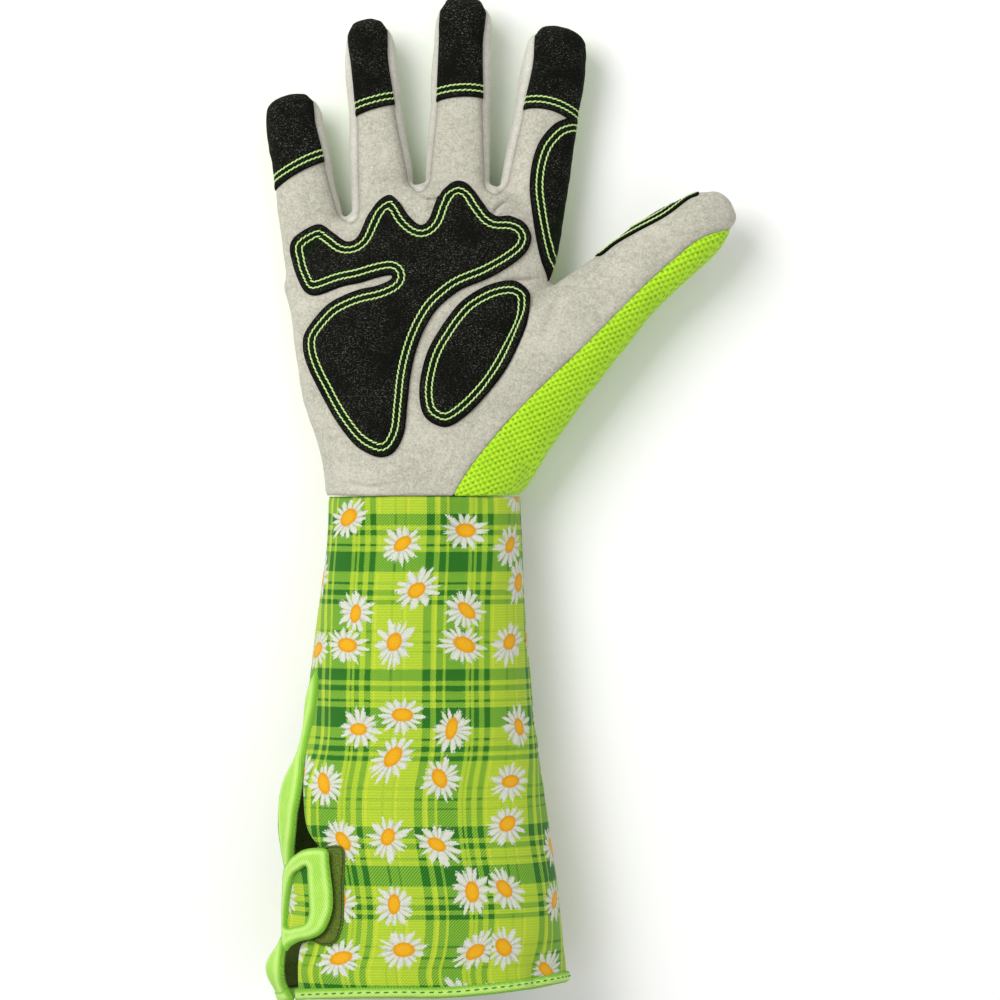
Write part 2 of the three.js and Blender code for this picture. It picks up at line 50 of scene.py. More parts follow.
hand = {"length": 210, "palmWidth": 105, "palmDepth": 42, "wristWidth": 81, "wristDepth": 50,
        "fingerWidth": 28, "fingerDepth": 24, "thumbWidth": 33, "thumbDepth": 28, "knuckleArch": 21,
        "crest": 0.115, "detail": 1.1, "smoothing": 9, "seamHeight": 11.5,
        "wallEnd": 0.985, "wallLow": 7, "seamRoll": 0.75, "seamRollWidth": 1.5,
        "wrist": 0.15, "seamGap": 0.06, "lining": 0.7, "above": 40, "flatten": 0.5}
cuff = {"length": 211, "mouthWidth": 120, "mouthDepth": 76, "hemRise": 8, "hemSlant": 6.5, "foldDepth": 2.2,
        "bindingWidth": 4.6, "sides": 300, "rows": 190, "waviness": 0.5, "ripple": 0.16,
        "hemGap": 1.2, "underTape": 1.3, "edgeRoll": 0.55}

# Fingers: root and tip (shares of palm width and hand length), base and end widths, the cap's
# place, tilt and arch, and how far the side strips reach in at the right and left, at wallPlaces
wallPlaces = (0, 0.45, 0.84, 1)
fingers = {
    "pinky": {"root": (-0.4, 0.39), "tip": (-0.528, 0.798), "base": 0.98, "end": 0.83,
              "capAt": 0.62, "tilt": 0.34, "arch": 0.45,
              "walls": [(1.6, 2.4, 2.7, 0.4), (2, 2, 2, 2)]},
    "ring": {"root": (-0.128, 0.41), "tip": (-0.224, 0.948), "base": 0.96, "end": 0.78,
             "capAt": 0.665, "tilt": 0.2, "arch": 0.35,
             "walls": [(1.6, 2.8, 3.0, 0.4), (2.4, 3.0, 2.0, 0.2)]},
    "middle": {"root": (0.116, 0.41), "tip": (0.164, 0.992), "base": 0.98, "end": 0.88,
               "capAt": 0.648, "tilt": 0.1, "arch": 0.65,
               "walls": [(1.5, 2.8, 3.2, 0.4), (1.5, 2.4, 1.8, 0.2)]},
    "index": {"root": (0.37, 0.41), "tip": (0.542, 0.932), "base": 1, "end": 0.93,
              "capAt": 0.66, "tilt": -0.03, "arch": 1.2,
              "walls": [(2, 2, 2, 2), (2.6, 3.6, 3.7, 0.4)]},
}
# at, taper, round, depth, rise
fingerRows = [
    (0, 0, 1, 1.08, 0.56), (0.4, 0, 1, 1, 0.52), (0.64, 0.7, 1, 0.94, 0.53), (0.86, 1, 1, 0.88, 0.6),
    (0.935, 1, 0.94, 0.82, 0.63), (0.975, 1, 0.8, 0.69, 0.65), (0.994, 1, 0.56, 0.46, 0.66),
    (1.006, 1, 0.24, 0.2, 0.66),
]
# x, y, width, depth, rise
thumbRows = [
    (0.188, 0.1, 1.79, 1.2, 0.82), (0.308, 0.17, 1.62, 1.28, 0.86), (0.468, 0.26, 1.43, 1.2, 0.88),
    (0.65, 0.348, 1.22, 1.1, 0.88), (0.858, 0.446, 0.985, 1, 0.88), (0.968, 0.49, 0.93, 0.96, 0.89),
    (1.076, 0.53, 0.84, 0.88, 0.9), (1.132, 0.554, 0.72, 0.74, 0.9), (1.184, 0.575, 0.54, 0.52, 0.9),
    (1.212, 0.588, 0.28, 0.28, 0.9), (1.22, 0.591, 0.08, 0.08, 0.9),
]
# at, left, right, top, drop
palmRows = [
    (-0.04, -0.386, 0.386, 1.19, 0), (0, -0.386, 0.386, 1.19, 0), (0.035, -0.395, 0.42, 1.16, 0),
    (0.11, -0.425, 0.48, 1.1, 0), (0.19, -0.48, 0.52, 1.03, 0), (0.27, -0.508, 0.525, 0.98, 0),
    (0.355, -0.53, 0.52, 0.95, 0), (0.45, -0.545, 0.515, 0.88, 0.35), (0.53, -0.556, 0.525, 0.78, 0.68),
    (0.602, -0.556, 0.52, 0.7, 0.94), (0.625, -0.54, 0.5, 0.6, 1), (0.634, -0.5, 0.46, 0.4, 1),
]
crotches = [(-0.292, 0.542), (-0.015, 0.604), (0.288, 0.6)]

# Creases of the leather in plan (shares of palm width and hand length), with depth and width
creases = [
    {"path": [(0.49, 0.437), (0.40, 0.432), (0.30, 0.43)], "depth": 0.9, "width": 1.6},
    {"path": [(0.345, 0.594), (0.30, 0.578), (0.27, 0.556)], "depth": 1.3, "width": 0.8},
    {"path": [(-0.02, 0.602), (0.02, 0.592), (0.085, 0.594)], "depth": 1.1, "width": 0.8},
    {"path": [(-0.02, 0.612), (0.0, 0.64), (0.03, 0.66)], "depth": 0.6, "width": 0.9},
    {"path": [(-0.29, 0.54), (-0.315, 0.528), (-0.36, 0.536)], "depth": 0.6, "width": 1.1},
    {"path": [(0.32, 0.566), (0.36, 0.563), (0.39, 0.567)], "depth": 0.5, "width": 1.0},
    {"path": [(-0.5, 0.54), (-0.42, 0.566), (-0.33, 0.556)], "depth": 0.35, "width": 2.2},
    {"path": [(-0.2, 0.62), (-0.14, 0.634), (-0.08, 0.62)], "depth": 0.4, "width": 2.0},
    {"path": [(0.56, 0.41), (0.5, 0.37), (0.46, 0.3)], "depth": 0.5, "width": 3.0},
    {"path": [(-0.33, 0.03), (-0.2, 0.02), (-0.1, 0.03)], "depth": 0.6, "width": 2.0},
]

palmPatchOutline = [
    (-0.528, 0.496), (-0.504, 0.52), (-0.42, 0.542), (-0.364, 0.526), (-0.304, 0.506), (-0.26, 0.514),
    (-0.224, 0.55), (-0.188, 0.578), (-0.132, 0.596), (-0.092, 0.582), (-0.06, 0.558), (-0.012, 0.538),
    (0.024, 0.55), (0.052, 0.586), (0.088, 0.612), (0.14, 0.624), (0.192, 0.612), (0.236, 0.582),
    (0.28, 0.558), (0.344, 0.556), (0.4, 0.544), (0.428, 0.516), (0.408, 0.484), (0.344, 0.456),
    (0.256, 0.43), (0.168, 0.412), (0.116, 0.396), (0.052, 0.366), (0.004, 0.326), (-0.028, 0.282),
    (-0.048, 0.234), (-0.06, 0.176), (-0.072, 0.124), (-0.108, 0.088), (-0.156, 0.076), (-0.208, 0.082),
    (-0.272, 0.104), (-0.344, 0.152), (-0.408, 0.21), (-0.456, 0.262), (-0.472, 0.302), (-0.456, 0.332),
    (-0.388, 0.374), (-0.324, 0.394), (-0.252, 0.408), (-0.18, 0.416), (-0.128, 0.428), (-0.128, 0.437),
    (-0.18, 0.432), (-0.248, 0.422), (-0.324, 0.414), (-0.416, 0.398), (-0.464, 0.404), (-0.496, 0.432),
    (-0.516, 0.464),
]
thumbPadOutline = [
    (0.352, 0.426), (0.408, 0.412), (0.424, 0.39), (0.416, 0.346), (0.376, 0.294), (0.32, 0.242),
    (0.24, 0.192), (0.168, 0.156), (0.1, 0.136), (0.044, 0.142), (0.004, 0.16), (-0.012, 0.192),
    (-0.008, 0.234), (0.02, 0.286), (0.068, 0.33), (0.132, 0.374), (0.192, 0.4), (0.272, 0.42),
]
indexSideOutline = [
    (0.72, 0.742), (0.61, 0.756), (0.558, 0.752), (0.512, 0.738), (0.462, 0.706), (0.434, 0.664),
    (0.424, 0.616), (0.432, 0.57), (0.448, 0.516), (0.468, 0.47), (0.492, 0.438), (0.51, 0.4),
    (0.62, 0.38), (0.76, 0.46),
]
thumbPatchOutline = [
    (1.1, 0.604), (1.056, 0.589), (0.964, 0.554), (0.852, 0.524), (0.768, 0.5), (0.7, 0.476),
    (0.67, 0.5), (0.76, 0.58), (0.93, 0.64), (1.07, 0.66),
]
thumbSeam = [
    (0.128, -0.02), (0.128, 0.006), (0.192, 0.058), (0.264, 0.104), (0.368, 0.164), (0.492, 0.226),
    (0.64, 0.296), (0.76, 0.356), (0.884, 0.418), (0.992, 0.466), (1.112, 0.512), (1.3, 0.54),
]

# at, flare, shift, bulge
cuffRows = [
    (-0.03, 0, 0.005, 0), (0.09, 0.01, 0.004, 0), (0.2, 0.12, -0.005, 0), (0.36, 0.29, -0.01, 0),
    (0.51, 0.49, -0.014, 0.004), (0.57, 0.57, -0.013, 0.042), (0.64, 0.67, -0.011, 0.048),
    (0.7, 0.75, -0.009, 0.026), (0.75, 0.82, -0.008, -0.004), (0.83, 0.91, -0.006, -0.02),
    (0.88, 0.95, -0.002, 0.006), (0.92, 0.98, 0, 0.044), (0.98, 1, 0.002, 0.004), (1.07, 1, 0.002, -0.04),
]
# at, turn, depth, length, width
cuffFolds = [
    (0.07, 66, 1, 0.07, 13), (0.1, 118, 0.8, 0.08, 13), (0.47, 152, 0.7, 0.1, 12),
    (0.93, 36, 0.9, 0.06, 10), (0.96, 84, 0.6, 0.07, 12),
]
# Small gathers that the wrist seam and the hem pull into the cloth: at, turn, depth, length, width
cuffGathers = [
    (0.01, 52, 0.5, 0.03, 3), (0.012, 74, 0.45, 0.035, 3), (0.01, 96, 0.5, 0.03, 3.5),
    (0.012, 112, 0.4, 0.03, 3), (0.01, 130, 0.45, 0.035, 3), (0.96, 40, 0.9, 0.035, 2.4),
    (0.965, 52, 0.5, 0.03, 2.4), (0.97, 78, 0.55, 0.03, 2.6), (0.968, 84, 0.6, 0.03, 2.4),
    (0.97, 90, 0.45, 0.03, 2.6), (0.966, 104, 0.4, 0.03, 3), (0.63, 60, 0.4, 0.012, 26),
]
backEdge = [
    (-0.36, 0.325), (-0.371, 0.409), (-0.387, 0.452), (-0.404, 0.496), (-0.412, 0.521), (-0.415, 0.545),
    (-0.423, 0.581), (-0.435, 0.619), (-0.441, 0.655), (-0.447, 0.685), (-0.449, 0.737),
    (-0.456, 0.796), (-0.466, 0.854), (-0.475, 0.884), (-0.479, 0.907), (-0.48, 0.929),
    (-0.473, 0.955), (-0.456, 0.976), (-0.428, 1.02),
]
frontEdge = [
    (-0.407, 0.513), (-0.412, 0.55), (-0.411, 0.58), (-0.408, 0.607), (-0.404, 0.628),
    (-0.396, 0.648), (-0.378, 0.666), (-0.357, 0.681), (-0.35, 0.715), (-0.364, 0.793),
    (-0.391, 0.852), (-0.419, 0.879), (-0.424, 0.901), (-0.425, 0.94), (-0.424, 0.971),
    (-0.422, 1.02),
]
strapOutline = [
    (-0.448, 0.709), (-0.426, 0.697), (-0.403, 0.688), (-0.364, 0.684), (-0.325, 0.689),
    (-0.318, 0.717), (-0.306, 0.77), (-0.306, 0.803), (-0.32, 0.831), (-0.34, 0.85),
    (-0.374, 0.862), (-0.413, 0.87), (-0.443, 0.881), (-0.46, 0.893), (-0.472, 0.876),
    (-0.471, 0.848), (-0.469, 0.778), (-0.464, 0.728),
]
strapWindow = [
    (-0.426, 0.738), (-0.406, 0.726), (-0.385, 0.72), (-0.38, 0.745), (-0.375, 0.798),
    (-0.378, 0.82), (-0.389, 0.835), (-0.418, 0.842), (-0.448, 0.845), (-0.445, 0.809),
    (-0.438, 0.77),
]
hookOutline = [
    (-0.414, 0.683), (-0.346, 0.683), (-0.266, 0.683), (-0.264, 0.749), (-0.264, 0.817),
    (-0.274, 0.846), (-0.293, 0.866), (-0.332, 0.872), (-0.38, 0.864), (-0.414, 0.855),
]
cuffSeam = [(-0.1, 0.32), (0, 0.32), (0.5, 0.42), (1.1, 0.49)]
tapeSeam = [(-0.1, 0.36), (0.408, 0.4), (0.522, 0.46), (0.64, 0.56), (1.1, 0.62)]


# Value of a smooth curve through (xs, ys)
def through(xs, ys, at):
    xs, ys = np.asarray(xs, float), np.asarray(ys, float)
    at = np.clip(at, xs[0], xs[-1])
    slopes = np.gradient(ys, xs)
    i = np.clip(np.searchsorted(xs, at, side="right") - 1, 0, len(xs) - 2)
    span = xs[i + 1] - xs[i]
    t = (at - xs[i]) / span
    return ((1 + 2 * t) * (1 - t) ** 2 * ys[i] + t * (1 - t) ** 2 * span * slopes[i]
            + t * t * (3 - 2 * t) * ys[i + 1] + t * t * (t - 1) * span * slopes[i + 1])


def columns(rows, at):
    table = np.array(rows, float)
    return [through(table[:, 0], table[:, k], at) for k in range(1, table.shape[1])]


def onHand(points):
    return np.array(points, float) * (hand["palmWidth"], hand["length"])


def onCuff(points):
    return np.array(points, float) * (cuff["mouthWidth"], -cuff["length"])


# Closed outline rounded through its points
def rounded(points, steps=8):
    before, after, far = np.roll(points, 1, 0), np.roll(points, -1, 0), np.roll(points, -2, 0)
    t = np.linspace(0, 1, steps, endpoint=False)[:, None, None]
    curve = 0.5 * (2 * points + (after - before) * t + (2 * before - 5 * points + 4 * after - far) * t ** 2
                   + (3 * points - before - 3 * after + far) * t ** 3)
    return curve.transpose(1, 0, 2).reshape(-1, 2)


# Distance in plan to a closed outline, positive inside it
def inside(places, loop):
    x, y = places[:, 0], places[:, 1]
    nearest = np.full(len(x), 1e9)
    within = np.zeros(len(x), bool)
    for (ax, ay), (bx, by) in zip(loop, np.roll(loop, -1, 0)):
        dx, dy = bx - ax, by - ay
        t = np.clip(((x - ax) * dx + (y - ay) * dy) / max(dx * dx + dy * dy, 1e-9), 0, 1)
        nearest = np.minimum(nearest, (x - ax - t * dx) ** 2 + (y - ay - t * dy) ** 2)
        if ay != by:
            within ^= ((ay > y) != (by > y)) & (x < dx * (y - ay) / dy + ax)
    return np.where(within, 1, -1) * np.sqrt(nearest)


# Distance in plan to an open path, and the share of the path where it is nearest
def alongPath(places, path):
    nearest, share = np.full(len(places), 1e9), np.zeros(len(places))
    for i, (a, b) in enumerate(zip(path[:-1], path[1:])):
        step = b - a
        t = np.clip(((places - a) @ step) / (step @ step), 0, 1)
        distance = np.linalg.norm(places - a - t[:, None] * step, axis=1)
        share = np.where(distance < nearest, (i + t) / (len(path) - 1), share)
        nearest = np.minimum(nearest, distance)
    return nearest, share


# A surface of loose triangles with values at its points, which can be cut, refined and thickened
class Skin:
    def __init__(self, layers, triangles):
        self.layers = layers
        self.triangles = triangles

    def __getitem__(self, name):
        return self.layers[name]

    def compact(self):
        used, index = np.unique(self.triangles, return_inverse=True)
        layers = {name: values[used] for name, values in self.layers.items()}
        return Skin(layers, index.reshape(-1, 3))

    # The bare surface moved out along its normals
    def lifted(self, height):
        place = self["place"] + self["normal"] * np.reshape(height, (-1, 1))
        return Skin({"place": place, "normal": self["normal"]}, self.triangles)

    # The triangles that reach above a field's zero
    def near(self, field):
        return Skin(self.layers, self.triangles[(field[self.triangles] > 0).any(1)]).compact()

    def refined(self):
        t = self.triangles
        pairs = np.sort(np.concatenate([t[:, [0, 1]], t[:, [1, 2]], t[:, [2, 0]]]), axis=1)
        pairs, index = np.unique(pairs, axis=0, return_inverse=True)
        index = index.reshape(-1)
        n, m = len(self["place"]), len(t)
        layers = {name: np.concatenate([v, (v[pairs[:, 0]] + v[pairs[:, 1]]) / 2])
                  for name, v in self.layers.items()}
        ab, bc, ca = n + index[:m], n + index[m:2 * m], n + index[2 * m:]
        a, b, c = t.T
        made = [np.stack(corner, 1) for corner in ((a, ab, ca), (ab, b, bc), (ca, bc, c), (ab, bc, ca))]
        return Skin(layers, np.concatenate(made))

    # The part of the surface where the field is positive, cut along its zero line
    def cut(self, field):
        t = self.triangles
        above = field >= 0
        count = above[t].sum(1)
        whole = t[count == 3]
        crossed = t[(count == 1) | (count == 2)]
        lone = above[crossed] == (above[crossed].sum(1) == 1)[:, None]
        first = lone.argmax(1)
        a, b, c = (crossed[np.arange(len(crossed)), (first + k) % 3] for k in range(3))
        pairs = np.sort(np.concatenate([np.stack((a, b), 1), np.stack((a, c), 1)]), axis=1)
        pairs, index = np.unique(pairs, axis=0, return_inverse=True)
        index = index.reshape(-1)
        low, high = pairs.T
        share = field[low] / (field[low] - field[high])
        layers = {}
        for name, v in self.layers.items():
            s = share.reshape((-1,) + (1,) * (v.ndim - 1))
            layers[name] = np.concatenate([v, v[low] * (1 - s) + v[high] * s])
        n = len(field)
        ab, ac = n + index[:len(a)], n + index[len(a):]
        tip = above[a]
        made = [whole, np.stack((a, ab, ac), 1)[tip], np.stack((ab, b, c), 1)[~tip],
                np.stack((ab, c, ac), 1)[~tip]]
        return Skin(layers, np.concatenate(made)).compact()

    # Lines on the surface along which the field has a level: lists of points and of normals
    def lines(self, field, level):
        f = field - level
        t = self.triangles
        above = f[t] >= 0
        crossed = t[(above.sum(1) == 1) | (above.sum(1) == 2)]
        links, points = {}, {}
        for corners in crossed.tolist():
            ends = []
            for i, j in zip(corners, corners[1:] + corners[:1]):
                if (f[i] >= 0) != (f[j] >= 0):
                    key = (min(i, j), max(i, j))
                    if key not in points:
                        s = f[key[0]] / (f[key[0]] - f[key[1]])
                        points[key] = [self[k][key[0]] * (1 - s) + self[k][key[1]] * s
                                       for k in ("place", "normal")]
                    ends.append(key)
            if len(ends) == 2:
                links.setdefault(ends[0], []).append(ends[1])
                links.setdefault(ends[1], []).append(ends[0])
        found, left = [], set(links)
        starts = sorted(k for k in left if len(links[k]) == 1) + sorted(left)
        for start in starts:
            if start not in left:
                continue
            chain, here = [], start
            while here is not None:
                left.discard(here)
                chain.append(here)
                here = next((k for k in links[here] if k in left), None)
            if len(chain) > 5:
                found.append({"closed": len(links[start]) > 1 and start in links[chain[-1]],
                              "place": np.array([points[k][0] for k in chain]),
                              "normal": np.array([points[k][1] for k in chain])})
        return found

    # Points and triangles of a closed wall between two offsets from the surface
    def wall(self, outer, inner):
        n, t = len(self["place"]), self.triangles
        edges = np.concatenate([t[:, [0, 1]], t[:, [1, 2]], t[:, [2, 0]]])
        forward, backward = edges[:, 0] * n + edges[:, 1], edges[:, 1] * n + edges[:, 0]
        rim = edges[~np.isin(forward, backward)]
        i, j = rim.T
        points = np.concatenate([self["place"] + self["normal"] * np.reshape(outer, (-1, 1)),
                                 self["place"] + self["normal"] * np.reshape(inner, (-1, 1))])
        sides = np.concatenate([np.stack((j, i, i + n), 1), np.stack((j, i + n, j + n), 1)])
        return points, np.concatenate([t, sides, t[:, ::-1] + n]), len(t) + len(sides)


# The lowest few millimetres are pressed together, so that the glove lies on the table and not in it
def onTable(points):
    low, high = tabletop["lowest"], tabletop["pressedBelow"]
    share = np.clip((points[:, 2] - low) / (high - low), 0, 1)
    pressed = high * share ** ((high - low) / high)
    return np.column_stack((points[:, :2], np.where(points[:, 2] < high, pressed, points[:, 2])))


# Cloth coordinates of the triangles' corners, unrolled where a triangle crosses the tube's joint
def clothCorners(cloth, triangles):
    corners = cloth[triangles]
    along = corners[:, :, 0]
    crossing = np.ptp(along, axis=1) > 0.5 * corners[:, 0, 2]
    along[crossing] += np.where(along[crossing] < 0, corners[crossing][:, :, 2], 0)
    return corners[:, :, :2]


# A mesh piece from points in millimetres. The triangles from number "reverse" on have the second finish.
def makePiece(name, points, triangles, finishes, reverse=None, layers=None, cloth=None):
    mesh = bpy.data.meshes.new(name)
    mesh.vertices.add(len(points))
    mesh.vertices.foreach_set("co", ((onTable(points) + frameShift) / 1000).astype(np.float32).ravel())
    mesh.loops.add(3 * len(triangles))
    mesh.loops.foreach_set("vertex_index", triangles.astype(np.int32).ravel())
    mesh.polygons.add(len(triangles))
    mesh.polygons.foreach_set("loop_start", np.arange(0, 3 * len(triangles), 3, dtype=np.int32))
    mesh.polygons.foreach_set("use_smooth", np.ones(len(triangles), bool))
    for finish in finishes:
        mesh.materials.append(finish)
    if reverse is not None and len(finishes) > 1:
        index = (np.arange(len(triangles)) >= reverse).astype(np.int32)
        mesh.polygons.foreach_set("material_index", index)
    for key, values in (layers or {}).items():
        mesh.attributes.new(key, "FLOAT", "POINT").data.foreach_set("value", values.astype(np.float32))
    if cloth is not None:
        mesh.uv_layers.new(name="cloth").data.foreach_set(
            "uv", clothCorners(cloth, triangles).astype(np.float32).ravel())
    mesh.update(calc_edges=True)
    piece = bpy.data.objects.new(name, mesh)
    bpy.context.scene.collection.objects.link(piece)
    return piece


# A wall piece on a skin, with its distance to the nearest edge kept for the finishes
def makeWall(name, skin, outer, inner, finishes, edge=None, cloth=None):
    n = len(skin["place"])
    points, triangles, reverse = skin.wall(np.broadcast_to(outer, n), np.broadcast_to(inner, n))
    layers = {"edge": np.tile(np.broadcast_to(edge if edge is not None else 9.0, n), 2)}
    if "fold" in skin.layers:
        layers["fold"] = np.tile(skin["fold"], 2)
    both = None if cloth is None else np.tile(cloth, (2, 1))
    return makePiece(name, points, triangles, finishes, reverse, layers, both)


# Finishes

def colour(red, green, blue):
    linear = [c / 3294.6 if c <= 10 else ((c / 255 + 0.055) / 1.055) ** 2.4 for c in (red, green, blue)]
    return (*linear, 1)


# A socket of a shader tree with arithmetic
class Value:
    def __init__(self, finish, socket):
        self.finish = finish
        self.socket = socket

    def maths(self, operation, *others):
        return self.finish.node("ShaderNodeMath", {"operation": operation}, [self, *others])

    def __add__(self, other):
        return self.maths("ADD", other)

    def __radd__(self, other):
        return self.maths("ADD", other)

    def __mul__(self, other):
        return self.maths("MULTIPLY", other)

    def __rmul__(self, other):
        return self.maths("MULTIPLY", other)

    def __sub__(self, other):
        return self.maths("SUBTRACT", other)

    def __rsub__(self, other):
        return self.finish.node("ShaderNodeMath", {"operation": "SUBTRACT"}, [other, self])

    def __truediv__(self, other):
        return self.maths("DIVIDE", other)

    def __pow__(self, other):
        return self.maths("POWER", other)

    # 0 below the first value, 1 above the second, smooth between them
    def between(self, low, high):
        settings = {"interpolation_type": "SMOOTHSTEP"}
        inputs = {"Value": self, "From Min": low, "From Max": high}
        return self.finish.node("ShaderNodeMapRange", settings, inputs)


class Finish:
    def __init__(self, name, roughness, sheen=0.0, specular=0.3):
        self.material = bpy.data.materials.new(name)
        self.material.use_nodes = True
        self.tree = self.material.node_tree
        self.surface = self.tree.nodes["Principled BSDF"]
        self.surface.inputs["Roughness"].default_value = roughness
        self.surface.inputs["Sheen Weight"].default_value = sheen
        self.surface.inputs["Sheen Roughness"].default_value = 0.5
        self.surface.inputs["Specular IOR Level"].default_value = specular

    def node(self, kind, settings=None, inputs=None, output=0):
        made = self.tree.nodes.new(kind)
        for key, value in (settings or {}).items():
            if key == "stops":
                ramp = made.color_ramp
                for i, (place, shade) in enumerate(value):
                    stop = ramp.elements[i] if i < 2 else ramp.elements.new(place)
                    stop.position = place
                    stop.color = shade if isinstance(shade, tuple) else (shade, shade, shade, 1)
            elif key == "steps":
                made.color_ramp.interpolation = value
            else:
                setattr(made, key, value)
        for key, value in (inputs.items() if isinstance(inputs, dict) else enumerate(inputs or [])):
            socket = made.inputs[key]
            if isinstance(value, Value):
                self.tree.links.new(value.socket, socket)
            else:
                socket.default_value = value
        return Value(self, made.outputs[output])

    # Object coordinates in millimetres
    def place(self):
        where = self.node("ShaderNodeTexCoord", output="Object")
        return self.vectors("SCALE", where, Scale=1000.0)

    def clothPlace(self):
        return self.node("ShaderNodeUVMap", {"uv_map": "cloth"})

    def edge(self):
        return self.node("ShaderNodeAttribute", {"attribute_name": "edge"}, output="Fac")

    def vectors(self, operation, first, second=None, **named):
        inputs = {0: first, **({} if second is None else {1: second}), **named}
        output = "Value" if operation in ("LENGTH", "DOT_PRODUCT") else "Vector"
        return self.node("ShaderNodeVectorMath", {"operation": operation}, inputs, output)

    def parts(self, vector):
        made = self.node("ShaderNodeSeparateXYZ", inputs=[vector])
        outputs = made.socket.node.outputs
        return [Value(self, outputs[k]) for k in range(3)]

    def noise(self, where, size, detail=3.0, rough=0.5, flat=False):
        return self.node("ShaderNodeTexNoise", {"noise_dimensions": "2D" if flat else "3D"},
                         {"Vector": where, "Scale": 1 / size, "Detail": detail, "Roughness": rough}, "Fac")

    def mix(self, share, first, second, blend="MIX"):
        inputs = {"Factor": share, "A": first, "B": second}
        made = self.tree.nodes.new("ShaderNodeMix")
        made.data_type, made.blend_type = "RGBA", blend
        sockets = {"Factor": made.inputs[0], "A": made.inputs[6], "B": made.inputs[7]}
        for key, value in inputs.items():
            if isinstance(value, Value):
                self.tree.links.new(value.socket, sockets[key])
            else:
                sockets[key].default_value = value
        return Value(self, made.outputs[2])

    def bump(self, height, depth, before=None):
        inputs = {"Height": height, "Distance": depth / 1000, "Strength": 1.0}
        if before is not None:
            inputs["Normal"] = before
        return self.node("ShaderNodeBump", inputs=inputs)

    def done(self, shade, normal=None, roughness=None):
        self.tree.links.new(shade.socket, self.surface.inputs["Base Color"])
        if normal is not None:
            self.tree.links.new(normal.socket, self.surface.inputs["Normal"])
        if roughness is not None:
            self.tree.links.new(roughness.socket, self.surface.inputs["Roughness"])
        return self.material


print("stage: finishes")
finishSizes = {"napDepth": 0.05, "pebble": 0.55, "knitPitch": 2.05, "tapeRib": 1.45, "twill": 1.3,
               "daisyCell": 24.5, "plaidAcross": 50.0, "plaidAlong": 64.0, "clothRib": 1.15,
               "hookLoop": 0.7}


def suedeFinish(name, light, dark):
    f = Finish(name, 0.94, sheen=0.2, specular=0.14)
    where = f.place()
    nap = f.noise(where, 0.95, 4.0, 0.75)
    streak = f.noise(where, 2.6, 2.0, 0.55)
    cloud = f.noise(where, 15.0, 3.0, 0.55)
    tone = (nap - 0.5) * 1.9 + (streak - 0.5) * 0.6 + (cloud - 0.5) * 0.6 + 0.55
    shade = f.mix(tone.between(0.0, 1.0), dark, light)
    pale = f.noise(where, 0.7, 2.0, 0.8)
    shade = f.mix((pale - 0.6).between(0.0, 0.12) * 0.4, shade, colour(232, 230, 217))
    # darker near the seams: partly wear, partly painted shade in the groove where the seams turn in
    darkened = f.mix(0.3 - f.edge().between(0.0, 1.6) * 0.3, shade, colour(104, 98, 86))
    # painted shade in the leather's creases
    fold = f.node("ShaderNodeAttribute", {"attribute_name": "fold"}, output="Fac")
    darkened = f.mix(fold.between(0.1, 0.9) * 0.62, darkened, colour(104, 98, 84))
    return f.done(darkened, f.bump(nap * 0.75 + streak * 0.25, finishSizes["napDepth"] * 3.4))


def patchFinish():
    f = Finish("blackPatch", 0.92, sheen=0.0, specular=0.07)
    where = f.place()
    grain = f.noise(where, finishSizes["pebble"], 4.0, 0.8)
    cloud = f.noise(where, 13.0, 2.0, 0.5)
    strand = f.noise(f.vectors("MULTIPLY", where, (1.0, 1.7, 1.0)), 0.8, 3.0, 0.8)
    shade = f.mix(grain.between(0.3, 0.7), colour(5, 6, 3), colour(17, 18, 13))
    glint = (strand - 0.54).between(0.0, 0.16) * cloud.between(0.2, 0.65)
    shade = f.mix(glint * 0.85, shade, colour(120, 122, 110))
    edge = f.edge()
    seamZone = edge.between(1.6, 2.6) * (1 - edge.between(5.2, 6.4))
    shade = f.mix(seamZone * 0.6, shade, colour(12, 32, 6))
    darkened = f.mix(edge.between(0.0, 1.2), colour(9, 10, 7), shade)
    return f.done(darkened, f.bump(grain * 0.6 + strand * 0.6, 0.42), 0.7 + grain * 0.25)


# Small dimples in offset rows, laid on the plane that the surface mostly faces
def dimples(f, where, pitch):
    x, y, z = f.parts(where)
    facing = f.parts(f.vectors("ABSOLUTE", f.node("ShaderNodeNewGeometry", output="Normal")))

    def grid(u, v):
        turned = 2 * math.pi / pitch
        first = (u * 0.81 + v * 0.58) * turned
        second = (v * 0.93 - u * 0.36) * turned
        return (first.maths("SINE") + second.maths("SINE")) * 0.25 + 0.5

    across = (facing[0] - facing[2]).between(-0.15, 0.15)
    ends = (facing[1] - facing[2]).between(-0.15, 0.15)
    flat, side, end = grid(x, y), grid(z, y), grid(x, z)
    both = flat * (1 - across) + side * across
    return both * (1 - ends) + end * ends


